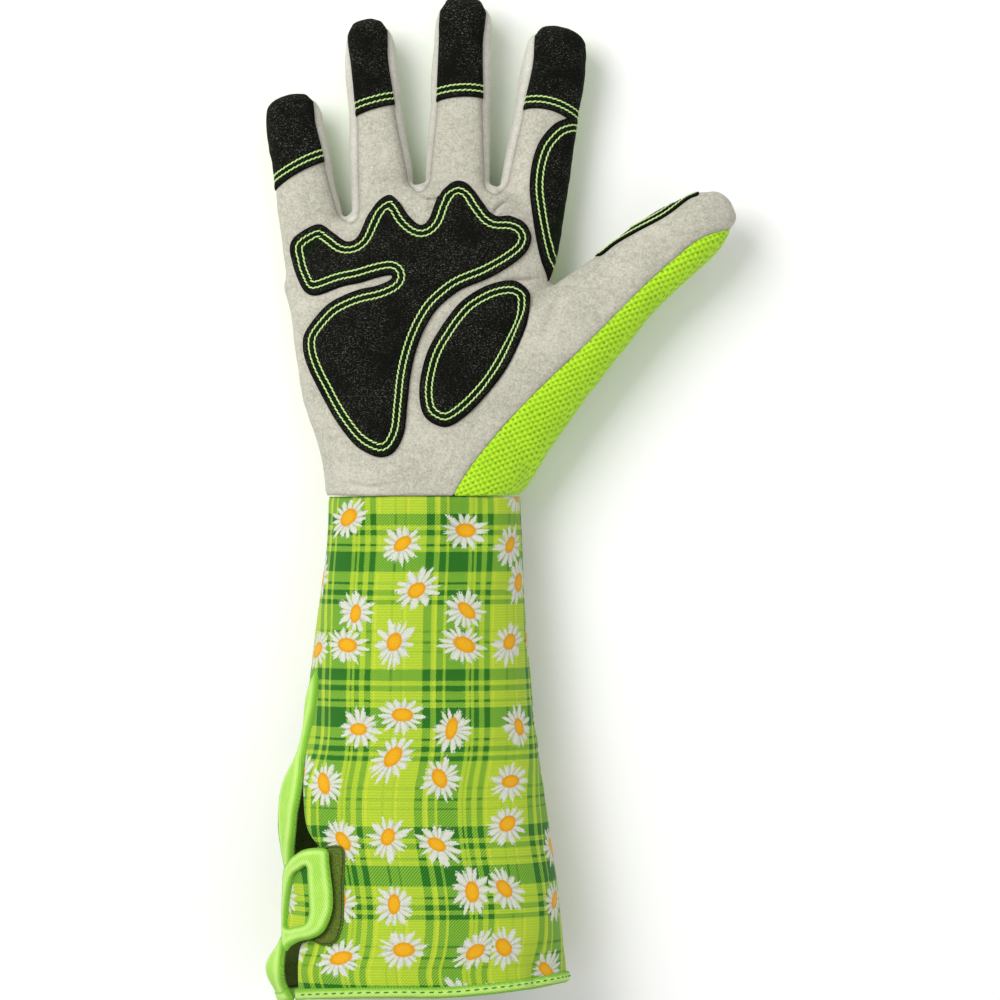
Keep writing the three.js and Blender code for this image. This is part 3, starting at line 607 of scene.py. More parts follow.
def knitFinish():
    f = Finish("limeKnit", 0.85, sheen=0.15, specular=0.15)
    where = f.place()
    drift = f.noise(where, 4.0, 2.0, 0.5)
    shifted = f.vectors("ADD", where, f.vectors("SCALE", f.node("ShaderNodeTexNoise", {}, {
        "Vector": where, "Scale": 1 / 5.0, "Detail": 1.0}, "Color"), Scale=1.3))
    dimple = dimples(f, shifted, finishSizes["knitPitch"])
    fuzz = f.noise(where, 0.6, 3.0, 0.7)
    cloud = f.noise(where, 13.0, 2.0, 0.5)
    # the dimples are painted darker: painted shade in the knit's recesses
    raised = (dimple + (fuzz - 0.5) * 0.5).between(0.12, 0.6)
    shade = f.mix(raised, colour(140, 192, 16), colour(184, 234, 40))
    shade = f.mix(fuzz.between(0.5, 0.75) * 0.35, shade, colour(204, 242, 92))
    shade = f.mix(cloud.between(0.35, 0.7) * 0.16, shade, colour(140, 190, 20))
    # painted shade in a random few of the deepest dimples
    deep = (0.2 - dimple).between(0.0, 0.14) * drift.between(0.46, 0.62)
    shade = f.mix(deep * 0.6, shade, colour(84, 128, 10))
    return f.done(shade, f.bump(dimple * 0.9 + fuzz * 0.2, 0.75))


def tapeFinish():
    f = Finish("limeTape", 0.88, sheen=0.12, specular=0.1)
    where = f.place()
    x, y, z = f.parts(where)
    rib = ((x + y * 0.8 + z) * (2 * math.pi / finishSizes["tapeRib"])).maths("SINE") * 0.5 + 0.5
    weave = f.noise(where, 0.4, 2.0, 0.6)
    cloud = f.noise(where, 9.0, 2.0, 0.5)
    shade = f.mix(rib * 0.5 + weave * 0.8 - 0.15, colour(132, 194, 46), colour(196, 238, 112))
    shade = f.mix(cloud.between(0.35, 0.7) * 0.3, shade, colour(140, 202, 58))
    edge = f.edge()
    # painted highlight along the crown of the rolled tape
    crown = edge.between(0.7, 1.7) * (1 - edge.between(1.9, 3.2))
    shade = f.mix(crown * 0.4, shade, colour(214, 244, 150))
    # painted shade where the tape rolls away round its edge, darker towards the edge
    darkened = f.mix(0.7 - edge.between(0.1, 1.5) * 0.7, shade, colour(92, 158, 26))
    return f.done(darkened, f.bump(rib * 0.6 + weave * 0.6, 0.3))


# Repeat of the plaid, charted one by one: place in the repeat and how green the stripe is
acrossStripes = [
    (0.0, 0.0), (0.02, 0.66), (0.074, 0.06), (0.118, 0.62), (0.162, 0.04), (0.186, 0.34), (0.2, 0.05),
    (0.234, 0.8), (0.4, 0.08), (0.425, 0.66), (0.48, 0.05), (0.525, 0.68), (0.592, 0.0), (0.76, 0.16),
    (0.776, 0.0), (0.84, 0.2), (0.86, 0.0),
]
alongStripes = [
    (0.0, 0.0), (0.01, 0.66), (0.042, 0.06), (0.07, 0.62), (0.104, 0.05), (0.14, 0.3), (0.156, 0.05),
    (0.22, 0.84), (0.35, 0.08), (0.385, 0.42), (0.402, 0.05), (0.455, 0.66), (0.49, 0.08), (0.52, 0.72),
    (0.595, 0.0), (0.7, 0.2), (0.714, 0.0), (0.76, 0.24), (0.774, 0.0), (0.83, 0.2), (0.846, 0.0),
]


printColours = {"ground": (184, 208, 54), "groundShade": (150, 186, 36), "yellow": (212, 220, 58),
                "stripe": (82, 150, 42), "crossing": (6, 98, 18), "petal": (216, 218, 204),
                "petalShade": (168, 176, 150), "heart": (236, 176, 22), "heartShade": (212, 138, 6),
                "shadow": (30, 62, 12)}
daisy = {"scatter": 0.62, "reach": 9.2, "reachSpread": 3.0, "fray": 4.6, "arms": 6.0,
         "heartWide": 3.7, "heartDeep": 2.3}


def printedFinish():
    tone = {key: colour(*value) for key, value in printColours.items()}
    f = Finish("printedCloth", 0.86, sheen=0.12, specular=0.2)
    where = f.clothPlace()
    u, v, _ = f.parts(where)
    wobble = f.noise(where, 0.9, 1.0, 0.5, flat=True) - 0.5

    def stripes(value, repeat, table):
        place = (value / repeat + wobble * 0.009).maths("FRACT")
        return f.node("ShaderNodeValToRGB", {"steps": "CONSTANT", "stops": table}, {"Fac": place}) * 1.0

    across = stripes(u + 31.0, finishSizes["plaidAcross"], acrossStripes)
    along = stripes(v + 1005.6, finishSizes["plaidAlong"], alongStripes)
    twill = (((u + v) * (2 * math.pi / finishSizes["twill"])).maths("SINE") * 0.5 + 0.5)
    rib = ((v * (2 * math.pi / finishSizes["clothRib"])).maths("SINE") * 0.5 + 0.5)
    base = f.mix(rib * 0.6, tone["ground"], tone["groundShade"])
    yellow = (0.5 - (u / finishSizes["plaidAcross"] * 4).maths("FRACT")).maths("ABSOLUTE")
    base = f.mix((0.06 - yellow).between(0.0, 0.03) * 0.4, base, tone["yellow"])
    hatched = (across.maths("MAXIMUM", along) * (0.58 + twill * 0.9)).maths("MINIMUM", 1.0)
    shade = f.mix(hatched, base, tone["stripe"])
    both = (across * along * 5.0 - 0.3).between(0.0, 0.8)
    shade = f.mix(both * (0.84 + twill * 0.16), shade, tone["crossing"])

    # Daisies: one in each cell, turned and sized at random
    cell = f.vectors("SCALE", where, Scale=1 / finishSizes["daisyCell"])
    settings = {"voronoi_dimensions": "2D", "feature": "F1"}
    inputs = {"Vector": cell, "Scale": 1.0, "Randomness": daisy["scatter"]}
    spots = f.node("ShaderNodeTexVoronoi", settings, inputs, "Position")
    chance = Value(f, spots.socket.node.outputs["Color"])
    red, green, blue = f.parts(chance)
    arm = f.vectors("SCALE", f.vectors("SUBTRACT", cell, spots), Scale=finishSizes["daisyCell"])
    arm = f.node("ShaderNodeVectorRotate", {"rotation_type": "Z_AXIS"},
                 {"Vector": arm, "Angle": red * 6.28})
    armX, armY, _ = f.parts(arm)
    squeezed = armY * (1.0 + green * 0.5)
    far = (armX * armX + squeezed * squeezed) ** 0.5
    turn = squeezed.maths("ARCTAN2", armX)
    heading = f.node("ShaderNodeCombineXYZ", inputs=[turn.maths("COSINE") + red * 20,
                                                     turn.maths("SINE") + blue * 20, 0.0])
    ragged = f.noise(heading, 0.26, 3.0, 0.6, flat=True)
    bend = f.noise(heading, 0.9, 1.0, 0.5, flat=True)
    arms = (blue * 3).maths("ROUND") * 0.5 + daisy["arms"]
    petal = (turn * arms + bend * 4.0 + red * 9).maths("COSINE").maths("ABSOLUTE")
    fray = f.noise(where, 0.8, 2.0, 0.6, flat=True)
    size = daisy["reach"] + green * daisy["reachSpread"]
    reach = (petal * 0.36 + 0.58) * (0.5 + ragged * 0.86) * size + (fray - 0.5) * daisy["fray"]
    petals = (reach - far).between(-0.3, 0.4)
    streak = f.noise(where, 1.1, 3.0, 0.6, flat=True)
    lit = (petal * 0.5 + streak * 0.7).between(0.15, 0.95)
    white = f.mix(lit, tone["petalShade"], tone["petal"])
    shade = f.mix(petals, shade, white)
    heartX = (armX - 0.7) / (daisy["heartWide"] + blue * 1.2)
    heartY = (armY + 0.4) / (daisy["heartDeep"] + green * 0.8)
    heart = (heartX * heartX + heartY * heartY) ** 0.5
    orange = f.mix(heart.between(0.45, 1.0) * 0.6 + streak * 0.3, tone["heart"], tone["heartShade"])
    shade = f.mix((1.1 + (fray - 0.5) * 0.3 - heart).between(0.0, 0.14), shade, orange)

    grain = f.noise(where, 0.6, 3.0, 0.7, flat=True)
    shade = f.mix(grain.between(0.3, 0.75) * 0.16 + twill * 0.05, shade, tone["shadow"])
    return f.done(shade, f.bump(twill * 0.6 + grain * 0.4, 0.16))


def plainFinish(name, light, dark, size, depth, roughness=0.9):
    f = Finish(name, roughness, sheen=0.1, specular=0.2)
    fibre = f.noise(f.place(), size, 3.0, 0.65)
    return f.done(f.mix(fibre.between(0.25, 0.75), dark, light), f.bump(fibre, depth))


def pileFinish():
    f = Finish("hookPile", 0.95, specular=0.15)
    where = f.place()
    loops = f.node("ShaderNodeTexVoronoi", {"feature": "F1"},
                   {"Vector": where, "Scale": 1 / finishSizes["hookLoop"]}, "Distance")
    speck = f.noise(where, 0.45, 3.0, 0.7)
    shade = f.mix(speck.between(0.3, 0.72), colour(66, 86, 26), colour(116, 136, 54))
    shade = f.mix((loops - 0.4).between(0.0, 0.3) * 0.35, shade, colour(62, 80, 26))
    return f.done(shade, f.bump(speck - loops * 0.6, 0.3))


greySuede = suedeFinish("greySuede", colour(199, 196, 181), colour(152, 150, 134))
paleSuede = suedeFinish("paleSuede", colour(216, 214, 203), colour(186, 184, 172))
blackPatch = patchFinish()
limeKnit = knitFinish()
limeTape = tapeFinish()
printedCloth = printedFinish()
clothReverse = plainFinish("clothReverse", colour(104, 128, 52), colour(70, 92, 30), 0.7, 0.1)
fleece = plainFinish("handLining", colour(206, 204, 196), colour(176, 174, 164), 0.9, 0.2)
hookPile = pileFinish()
limeThread = plainFinish("limeThread", colour(214, 238, 170), colour(170, 210, 110), 0.5, 0.04, 0.55)
greenThread = plainFinish("greenThread", colour(66, 122, 22), colour(46, 96, 14), 0.5, 0.04, 0.7)
darkThread = plainFinish("darkThread", colour(62, 76, 22), colour(42, 54, 14), 0.5, 0.04, 0.8)


# The hand's surface

def section(turns, a, b, power):
    cos, sin = np.cos(turns), np.sin(turns)
    return a * np.sign(cos) * np.abs(cos) ** (2 / power), b * np.sign(sin) * np.abs(sin) ** (2 / power)


def digitRings(plan, direction, a, b, height, power=2.3, sides=56):
    turns = -2 * np.pi * np.arange(sides) / sides
    px, pz = section(turns[None, :], a[:, None], b[:, None], power)
    x = plan[:, :1] + direction[:, 1:] * px
    y = plan[:, 1:] - direction[:, :1] * px
    return np.stack((x, y, height[:, None] + pz), 2)


def fingerLine(finger):
    root, tip = onHand([finger["root"]])[0], onHand([finger["tip"]])[0]
    along = (tip - root) / np.linalg.norm(tip - root)
    return root, tip, along, np.array((along[1], -along[0]))


def fingerHalf(finger, at):
    taper, close, _, _ = columns(fingerRows, at)
    return (finger["base"] + (finger["end"] - finger["base"]) * taper) * hand["fingerWidth"] * close / 2


def fingerRings(finger):
    at = np.concatenate([np.linspace(0, 0.86, 40), np.linspace(0.87, 1.006, 24)])
    root, tip, along, _ = fingerLine(finger)
    _, _, depth, rise = columns(fingerRows, at)
    plan = root + (tip - root) * at[:, None]
    direction = np.tile(along, (len(at), 1))
    return digitRings(plan, direction, fingerHalf(finger, at), depth * hand["fingerDepth"] / 2,
                      rise * hand["fingerDepth"])


def thumbRings():
    table = np.array(thumbRows)
    centres = onHand(table[:, :2])
    length = np.concatenate([[0], np.cumsum(np.linalg.norm(np.diff(centres, axis=0), axis=1))])
    at = np.concatenate([np.linspace(0, length[-4], 50), np.linspace(length[-4] + 0.6, length[-1], 18)])
    plan = np.stack([through(length, centres[:, k], at) for k in (0, 1)], 1)
    width, depth, rise = (through(length, table[:, k], at) for k in (2, 3, 4))
    direction = np.gradient(plan, at, axis=0)
    direction /= np.linalg.norm(direction, axis=1, keepdims=True)
    return digitRings(plan, direction, width * hand["thumbWidth"] / 2, depth * hand["thumbDepth"] / 2,
                      rise * hand["thumbDepth"])


def palmRings(sides=150):
    at = np.concatenate([np.linspace(-0.04, 0.6, 64), np.linspace(0.605, 0.634, 7)])
    left, right, top, drop = columns(palmRows, at)
    left, right, top = left * hand["palmWidth"], right * hand["palmWidth"], top * hand["palmDepth"]
    turns = 2 * np.pi * np.arange(sides) / sides
    halfWide, halfDeep = (right - left) / 2, (top + backFlattening) / 2
    px, pz = section(turns[None, :], halfWide[:, None], halfDeep[:, None], 2.5)
    x = ((left + right) / 2)[:, None] + px
    z = ((top - backFlattening) / 2)[:, None] + pz
    crest = hand["crest"] * hand["palmWidth"]
    fall = drop[:, None] * hand["knuckleArch"] * ((x - crest) / (hand["palmWidth"] / 2)) ** 2
    return np.stack((x, at[:, None] * hand["length"] - fall, z), 2)[::-1]


def loft(rings):
    count, sides = rings.shape[:2]
    points = np.concatenate([rings.reshape(-1, 3), rings[0].mean(0)[None], rings[-1].mean(0)[None]])
    i, k = np.meshgrid(np.arange(count - 1), np.arange(sides), indexing="ij")
    a, b = i * sides + k, i * sides + (k + 1) % sides
    quads = np.stack((a, b, b + sides, a + sides), 2).reshape(-1, 4)
    triangles = np.concatenate([quads[:, [0, 1, 2]], quads[:, [0, 2, 3]]])
    side = np.arange(sides)
    first, last = count * sides, count * sides + 1
    caps = [np.stack((np.full(sides, first), (side + 1) % sides, side), 1),
            np.stack((np.full(sides, last), (count - 1) * sides + side,
                      (count - 1) * sides + (side + 1) % sides), 1)]
    return points, np.concatenate([triangles, *caps])


def handSkin():
    points, triangles, start = [], [], 0
    for rings in [palmRings(), thumbRings(), *(fingerRings(f) for f in fingers.values())]:
        p, t = loft(rings)
        points.append(p)
        triangles.append(t + start)
        start += len(p)
    lifted = np.array((0, 0, hand["above"]))  # clear of the table, where nothing is pressed
    form = makePiece("handForm", np.concatenate(points) + lifted, np.concatenate(triangles), [])
    remesh = form.modifiers.new("Remesh", "REMESH")
    remesh.mode, remesh.voxel_size = "VOXEL", hand["detail"] / 1000
    smooth = form.modifiers.new("Smooth", "SMOOTH")
    smooth.factor, smooth.iterations = 0.5, hand["smoothing"]
    mesh = bpy.data.meshes.new_from_object(form.evaluated_get(bpy.context.evaluated_depsgraph_get()))
    mesh.calc_loop_triangles()
    place = np.empty(3 * len(mesh.vertices))
    mesh.vertices.foreach_get("co", place)
    corners = np.empty(3 * len(mesh.loop_triangles), np.int32)
    mesh.loop_triangles.foreach_get("vertices", corners)
    bpy.data.objects.remove(form)
    bpy.data.meshes.remove(mesh)
    place = place.reshape(-1, 3) * 1000 - frameShift - lifted
    return place, corners.reshape(-1, 3).astype(np.int64)


# Normals of the points of a surface of triangles
def normalsOf(place, triangles):
    a, b, c = (place[triangles[:, k]] for k in range(3))
    face = np.cross(b - a, c - a)
    normal = np.zeros_like(place)
    for k in range(3):
        np.add.at(normal, triangles[:, k], face)
    return normal / np.maximum(np.linalg.norm(normal, axis=1, keepdims=True), 1e-12)


# Soft random swell of a surface, the same on each run
def swell(place, size, seed):
    draw = np.random.default_rng(seed)
    total = np.zeros(len(place))
    for _ in range(7):
        direction = draw.normal(size=3)
        direction *= 2 * np.pi / size / np.linalg.norm(direction) * draw.uniform(0.7, 1.5)
        total += np.sin(place @ direction + draw.uniform(0, 6.3))
    return total / 7


print("stage: hand surface")
place, triangles = handSkin()
normal = normalsOf(place, triangles)
topSide = np.clip(normal[:, 2], 0, 1)
swells = {"wide": {"size": 26, "height": 0.45, "seed": 3}, "fine": {"size": 11, "height": 0.18, "seed": 4}}
relief = sum(swell(place, kind["size"], kind["seed"]) * kind["height"] for kind in swells.values())
foldShade = np.zeros(len(place))
for crease in creases:
    distance, share = alongPath(place[:, :2], onHand(crease["path"]))
    fade = np.sqrt(np.clip(np.sin(np.pi * np.clip(share, 0.03, 0.97)), 0, 1))
    across = distance / crease["width"]
    hollow, bank = np.exp(-across ** 2), np.exp(-(across - 2.2) ** 2)
    relief -= crease["depth"] * (hollow - 0.35 * bank) * fade * topSide
    # painted shade along each crease, carried to the suede finish
    foldShade += np.exp(-(across / 0.6) ** 2) * fade * topSide * crease["depth"]
place = place + normal * relief[:, None]
place[:, 2] = 0.5 * (place[:, 2] + np.sqrt(place[:, 2] ** 2 + hand["flatten"]))
handSurface = Skin({"place": place, "normal": normalsOf(place, triangles), "fold": foldShade}, triangles)
print("hand surface:", len(place), "points")


# The leather's outline in plan: left of the thumb's seam
def leatherLoop():
    seam = np.stack([through(np.arange(len(thumbSeam)), onHand(thumbSeam)[:, k],
                             np.linspace(0, len(thumbSeam) - 1, 60)) for k in (0, 1)], 1)
    top = hand["length"] + 60
    return np.concatenate([[(-150, seam[0][1])], seam, [(seam[-1][0], top), (-150, top)]])


# The strip between two neighbouring fingers in plan, from its low point up both seams
def wallLoop(index):
    crotch = onHand([crotches[index]])[0]
    pair = list(fingers.values())[index:index + 2]
    sides = []
    for sign, finger in zip((1, -1), pair):
        root, tip, along, side = fingerLine(finger)
        start = (crotch[1] + 4 - root[1]) / (tip[1] - root[1])
        at = np.linspace(start, hand["wallEnd"], 24)
        inset = through(wallPlaces, finger["walls"][(1 - sign) // 2], (at - start) / (1 - start))
        line = root + (tip - root) * at[:, None] + sign * (fingerHalf(finger, at) - inset)[:, None] * side
        sides.append(np.concatenate([line, [line[-1] + sign * side * 12]]))
    low = crotch + np.array([(-2.2, 1.9), (-1.2, 1.0), (0, 0.7), (1.2, 1.0), (2.2, 1.9)])
    return np.concatenate([low, sides[1], sides[0][::-1]])


seamHeight = hand["seamHeight"]
wallLoops = [wallLoop(i) for i in range(3)]


# Distances to the seams at each point of a skin of the hand
def seamFields(skin):
    plan, height = skin["place"][:, :2], skin["place"][:, 2]
    leatherSide = np.minimum(inside(plan, leatherLoop()), height - seamHeight)
    walls = [np.minimum(inside(plan, loop), height - hand["wallLow"]) for loop in wallLoops]
    return leatherSide, walls, skin["place"][:, 1] - hand["wrist"]


# The leather turns in at its seams
def rolled(distance):
    return -hand["seamRoll"] * np.exp(-(np.maximum(distance, 0) / hand["seamRollWidth"]) ** 2)


def panelOn(name, skin, field, finishes, thickness=leather):
    skin.layers["edge"] = field
    part = skin.cut(field - hand["seamGap"])
    outer = rolled(part["edge"])
    inner = np.minimum(outer - hand["lining"], -thickness)
    return makeWall(name, part, outer, inner, finishes, part["edge"])


print("stage: hand panels")
leatherSide, walls, wrist = seamFields(handSurface)
between = np.maximum.reduce(walls)
palmField = np.minimum.reduce([leatherSide, -between, wrist])
backField = np.minimum.reduce([-leatherSide, -between, wrist])
pieces = {}
pieces["palmLeather"] = panelOn("palmLeather", handSurface, palmField, [greySuede, fleece])
pieces["backKnit"] = panelOn("backKnit", handSurface, backField, [limeKnit, fleece])
for label, field in zip(("pinkyRing", "ringMiddle", "middleIndex"), walls):
    pieces[label + "Wall"] = panelOn(label + "Wall", handSurface, field, [paleSuede, fleece])

# Caps and patches

patchSizes = {"rows": (2.8, 5.2), "narrowRows": (1.1, 2.7), "stitchDip": 0.42, "stitchDipWidth": 0.6,
              "threadLift": 0.16, "edgeRound": 1.3, "edgeShare": 0.35, "crownReach": 7,
              "capThickness": 1.2, "sideThickness": 0.8, "padThickness": 1.6, "padCrown": 0.9,
              "sideCrown": 0.2, "thumbCrown": 0.1, "low": 20}
indexStop = [(0.494, 0.425), (0.585, 0.56)]  # the index patch ends at this line
stitchLines = {"lime": [], "green": []}


def stitchDips(distance, rows=patchSizes["rows"]):
    return sum(patchSizes["stitchDip"] * np.exp(-((distance - row) / patchSizes["stitchDipWidth"]) ** 2)
               for row in rows)


# Rounding of an edge: 0 at the edge, 1 at a reach from it
def roundEdge(distance, reach):
    return np.sqrt(1 - (1 - np.clip(distance / reach, 0, 1)) ** 2)


def edgeHeight(distance, thickness):
    share = patchSizes["edgeShare"]
    return gap + thickness * (share + (1 - share) * roundEdge(distance, patchSizes["edgeRound"]))


# Surfaces that face sideways keep only a share of an overlay's height
def lowAtSides(part, height, share):
    facingUp = np.clip(part["normal"][:, 2] * 1.6, 0, 1)
    return gap + (height - gap) * (share + (1 - share) * facingUp * (2 - facingUp))


# How far an overlay stands off the leather at a distance from its cut edge
def overlayHeight(distance, thickness, crown, rows):
    d = np.maximum(distance, 0)
    past = np.clip((d - rows[1]) / patchSizes["crownReach"], 0, 1)
    return edgeHeight(d, thickness) - stitchDips(d, rows) + crown * past * (2 - past)


def addRows(part, distance, height, rows=patchSizes["rows"]):
    lifted = part.lifted(height + patchSizes["threadLift"])
    for row in rows:
        stitchLines["lime"] += lifted.lines(distance, row)


def overlayOn(name, outline, thickness, crown, low, rows=patchSizes["rows"], stop=None):
    loop = rounded(onHand(outline), 5)
    near = handSurface.near(np.minimum(inside(handSurface["place"][:, :2], loop) + 2,
                                       handSurface["place"][:, 2] - low + 2))
    near = near.refined()
    near.layers["distance"] = inside(near["place"][:, :2], loop)
    near.layers["border"] = np.minimum(near["distance"], near["place"][:, 2] - low)
    if stop:
        start, end = onHand(stop)
        across = np.array([start[1] - end[1], end[0] - start[0]]) / np.linalg.norm(end - start)
        near.layers["border"] = np.minimum(near["border"], (near["place"][:, :2] - start) @ across)
    part = near.cut(near["border"])
    height = overlayHeight(part["border"], thickness, crown, rows)
    height += swell(part["place"], 12, 8) * 0.12 * np.clip(part["border"] / 4, 0, 1)
    height = lowAtSides(part, height, 0.3)
    piece = makeWall(name, part, height, gap * 0.5, [blackPatch], part["border"])
    addRows(part, part["distance"], height, rows)
    return piece


print("stage: patches")
sizes = patchSizes
for name, outline in {"palmPatch": palmPatchOutline, "thumbPad": thumbPadOutline}.items():
    pieces[name] = overlayOn(name, outline, sizes["padThickness"], sizes["padCrown"], sizes["low"])
pieces["indexSidePatch"] = overlayOn("indexSidePatch", indexSideOutline, sizes["capThickness"],
                                     sizes["sideCrown"], seamHeight, stop=indexStop)
pieces["thumbPatch"] = overlayOn("thumbPatch", thumbPatchOutline, sizes["sideThickness"],
                                 sizes["thumbCrown"], seamHeight, sizes["narrowRows"])


# A cap covers the finger above its lower edge, out to the seams beside it
def capOn(name, finger):
    root, tip, along, side = fingerLine(finger)
    length = np.linalg.norm(tip - root)
    half = fingerHalf(finger, np.array([finger["capAt"]]))[0]

    def fields(skin):
        plan = skin["place"][:, :2] - root
        across = plan @ side
        bow = finger["arch"] * 3 * (1 - (across / half) ** 2)
        lower = plan @ along - finger["capAt"] * length - finger["tilt"] * across - bow
        _, walls, _ = seamFields(skin)
        reach = half + 3 - np.abs(across)
        clear = -np.maximum.reduce(walls)
        return lower, np.minimum.reduce([clear, skin["place"][:, 2] - seamHeight, reach])

    plan = handSurface["place"][:, :2] - root
    rough = np.minimum(plan @ along - finger["capAt"] * length + 12, half + 5 - np.abs(plan @ side))
    near = handSurface.near(rough)
    near = near.refined()
    lower, seam = fields(near)
    near.layers["lower"], near.layers["seam"] = lower, seam
    part = near.cut(np.minimum(lower, seam))
    atEdge = lowAtSides(part, edgeHeight(part["lower"], patchSizes["capThickness"]), 0.15)
    atSeam = np.clip(part["seam"] / 2.2, 0, 1)
    height = atEdge * roundEdge(atSeam, 1) - (1 - atSeam) * 0.5
    height = height - stitchDips(part["lower"]) + swell(part["place"], 8, 5) * 0.1 * atSeam
    piece = makeWall(name, part, height, np.minimum(gap * 0.5, height - 0.3), [blackPatch], part["lower"])
    addRows(part, part["lower"], height)
    return piece


for label, finger in fingers.items():
    pieces[label + "Cap"] = capOn(label + "Cap", finger)

# The cuff's surface

print("stage: cuff surface")


def cuffDents(at, turn):
    dent = np.zeros(np.broadcast(at, turn).shape)
    for unit, dents in ((cuff["foldDepth"], cuffFolds), (1, cuffGathers)):
        for row, heading, depth, length, width in dents:
            apart = ((at - row) / length) ** 2 + ((np.degrees(turn) - heading) / width) ** 2
            dent += unit * depth * np.exp(-apart)
    return dent


# A stretch of the cuff's surface as a skin with its place on the flat cloth
def cuffSkin(turns, at, closed):
    flare, shift, bulge = columns(cuffRows, at)
    wide, deep = cuff["mouthWidth"], cuff["mouthDepth"]
    half = (hand["wristWidth"] + (wide - hand["wristWidth"]) * flare) / 2
    left, right = shift * wide - half - bulge * wide, shift * wide + half
    top = hand["wristDepth"] + (deep - hand["wristDepth"]) * flare
    turn, row = np.meshgrid(turns, at)
    dent = cuffDents(row, turn)
    halfWide, halfDeep = (right - left) / 2, (top + backFlattening) / 2
    px, pz = section(turn, halfWide[:, None] - dent, halfDeep[:, None] - dent, 2.2)
    x = ((left + right) / 2)[:, None] + px
    z = ((top - backFlattening) / 2)[:, None] + pz
    y = -row * cuff["length"]
    floor = (gap + tape) * np.clip(-y / cuff["length"], 0, 1)
    z = floor + 0.5 * (z - floor + np.sqrt((z - floor) ** 2 + 0.4))
    grid = np.stack((x, y, z), 2)
    rows, sides = turn.shape
    i, k = np.meshgrid(np.arange(rows - 1), np.arange(sides if closed else sides - 1), indexing="ij")
    a, b = i * sides + k, i * sides + (k + 1) % sides
    quads = np.stack((a, b, b + sides, a + sides), 2).reshape(-1, 4)[:, ::-1]
    triangles = np.concatenate([quads[:, [0, 1, 2]], quads[:, [0, 2, 3]]])
    points = grid.reshape(-1, 3)
    normal = normalsOf(points, triangles)
    outward = points - np.array([0, 0, 25])
    if (normal * outward).sum(1).mean() < 0:
        triangles, normal = triangles[:, ::-1], -normal
    step = np.linalg.norm(np.diff(grid, axis=1), axis=2)
    around = np.concatenate([np.zeros((rows, 1)), np.cumsum(step, axis=1)], 1)
    middle = np.array([np.interp(np.pi / 2, turns, line) for line in around])
    girth = around[:, -1:] + np.linalg.norm(grid[:, 0] - grid[:, -1], axis=1)[:, None]
    cloth = np.stack((around - middle[:, None], y, np.broadcast_to(girth, y.shape)), 2).reshape(-1, 3)
    waves = swell(points, 30, 12) * cuff["waviness"] + swell(points, 12, 13) * cuff["ripple"]
    points = points + normal * waves[:, None]
    return Skin({"place": points, "normal": normalsOf(points, triangles), "cloth": cloth}, triangles)


# Place across the cuff of an edge
def edgeX(table, y):
    path = onCuff(table)
    return through(-path[:, 1], path[:, 0], -y)


# Height of a seam along the cuff
def seamZ(table, y):
    rows = np.array(table)
    return np.interp(-y / cuff["length"], rows[:, 0], rows[:, 1]) * cuff["mouthDepth"]


def hemY(x, z):
    lift = cuff["hemRise"] * np.clip(x / (cuff["mouthWidth"] / 2), 0, 2) ** 2
    return lift + cuff["hemSlant"] * np.clip((z - 28) / 48, 0, 1) ** 1.3 - cuff["length"]


# Distances that bound the pieces of the cuff
def cuffFields(skin):
    x, y, z = skin["place"].T
    slitStart, flapStart = -frontEdge[0][1] * cuff["length"], -backEdge[0][1] * cuff["length"]
    beyondBack = x - edgeX(backEdge, y)
    beyondFront = x - edgeX(frontEdge, y)
    flapHere = np.clip((flapStart - y) / 6, 0, 1)
    edge = np.where(y < slitStart, beyondFront, beyondBack) + (1 - flapHere) * 60
    hem = y - hemY(x, z)
    seam = z - seamZ(cuffSeam, y)
    front = np.minimum.reduce([seam, edge, hem - cuff["hemGap"], -y - gap])
    flap = np.minimum.reduce([-beyondBack - cuff["underTape"], flapStart - y])
    back = np.minimum.reduce([np.maximum(-seam, flap), hem - cuff["hemGap"], -y - gap])
    return front, back


wholeCuff = cuffSkin(2 * np.pi * np.arange(cuff["sides"]) / cuff["sides"] - 0.6 * np.pi,
                     np.linspace(-0.01, 1.06, cuff["rows"]), True)
front, back = cuffFields(wholeCuff)


def clothPanel(name, skin, field):
    skin.layers["edge"] = field
    part = skin.cut(field)
    outer = -cuff["edgeRoll"] * np.exp(-(part["edge"] / 1.3) ** 2)
    inner = np.minimum(outer - hand["lining"], -leather)
    return makeWall(name, part, outer, inner, [printedCloth, clothReverse], part["edge"], part["cloth"])


# The cloth's flat width, length and area in metres, from its outer face unrolled
def flatSize(skin, roundTheBack=False):
    cloth = skin["cloth"].copy()
    if roundTheBack:
        cloth[:, 0] += np.where(cloth[:, 0] < 0, cloth[:, 2], 0)
    corners = clothCorners(cloth, skin.triangles) / 1000
    (ax, ay), (bx, by) = (corners[:, k].T - corners[:, 0].T for k in (1, 2))
    width, length = np.ptp(corners.reshape(-1, 2), axis=0)
    return {"flat": (float(width), float(length)), "area": float(np.abs(ax * by - ay * bx).sum() / 2)}


pieces["cuffFront"] = clothPanel("cuffFront", wholeCuff, front)
pieces["cuffBack"] = clothPanel("cuffBack", wholeCuff, back)
flatSizes = {"cuffFront": flatSize(wholeCuff.cut(front)), "cuffBack": flatSize(wholeCuff.cut(back), True)}

print("stage: bindings")
tapes = {"top": gap + tape, "under": -leather - gap - tape, "hemExtra": 0.15, "threadLift": 1.42,
         "threadRow": 1.9, "lowEdge": 0.9, "lowDepth": 0.75}
strap = {"aside": 1.9, "top": 5.6, "under": 1.5, "roll": 1.9, "low": 0.42, "clothTop": 3.9,
         "clothUnder": 2.6, "clothInset": 1.2, "clothLap": 2}
hook = {"low": 0.1, "edge": 0.5, "rise": 0.4, "edgeWidth": 0.8, "threadLift": 1.05, "threadRow": 0.7}


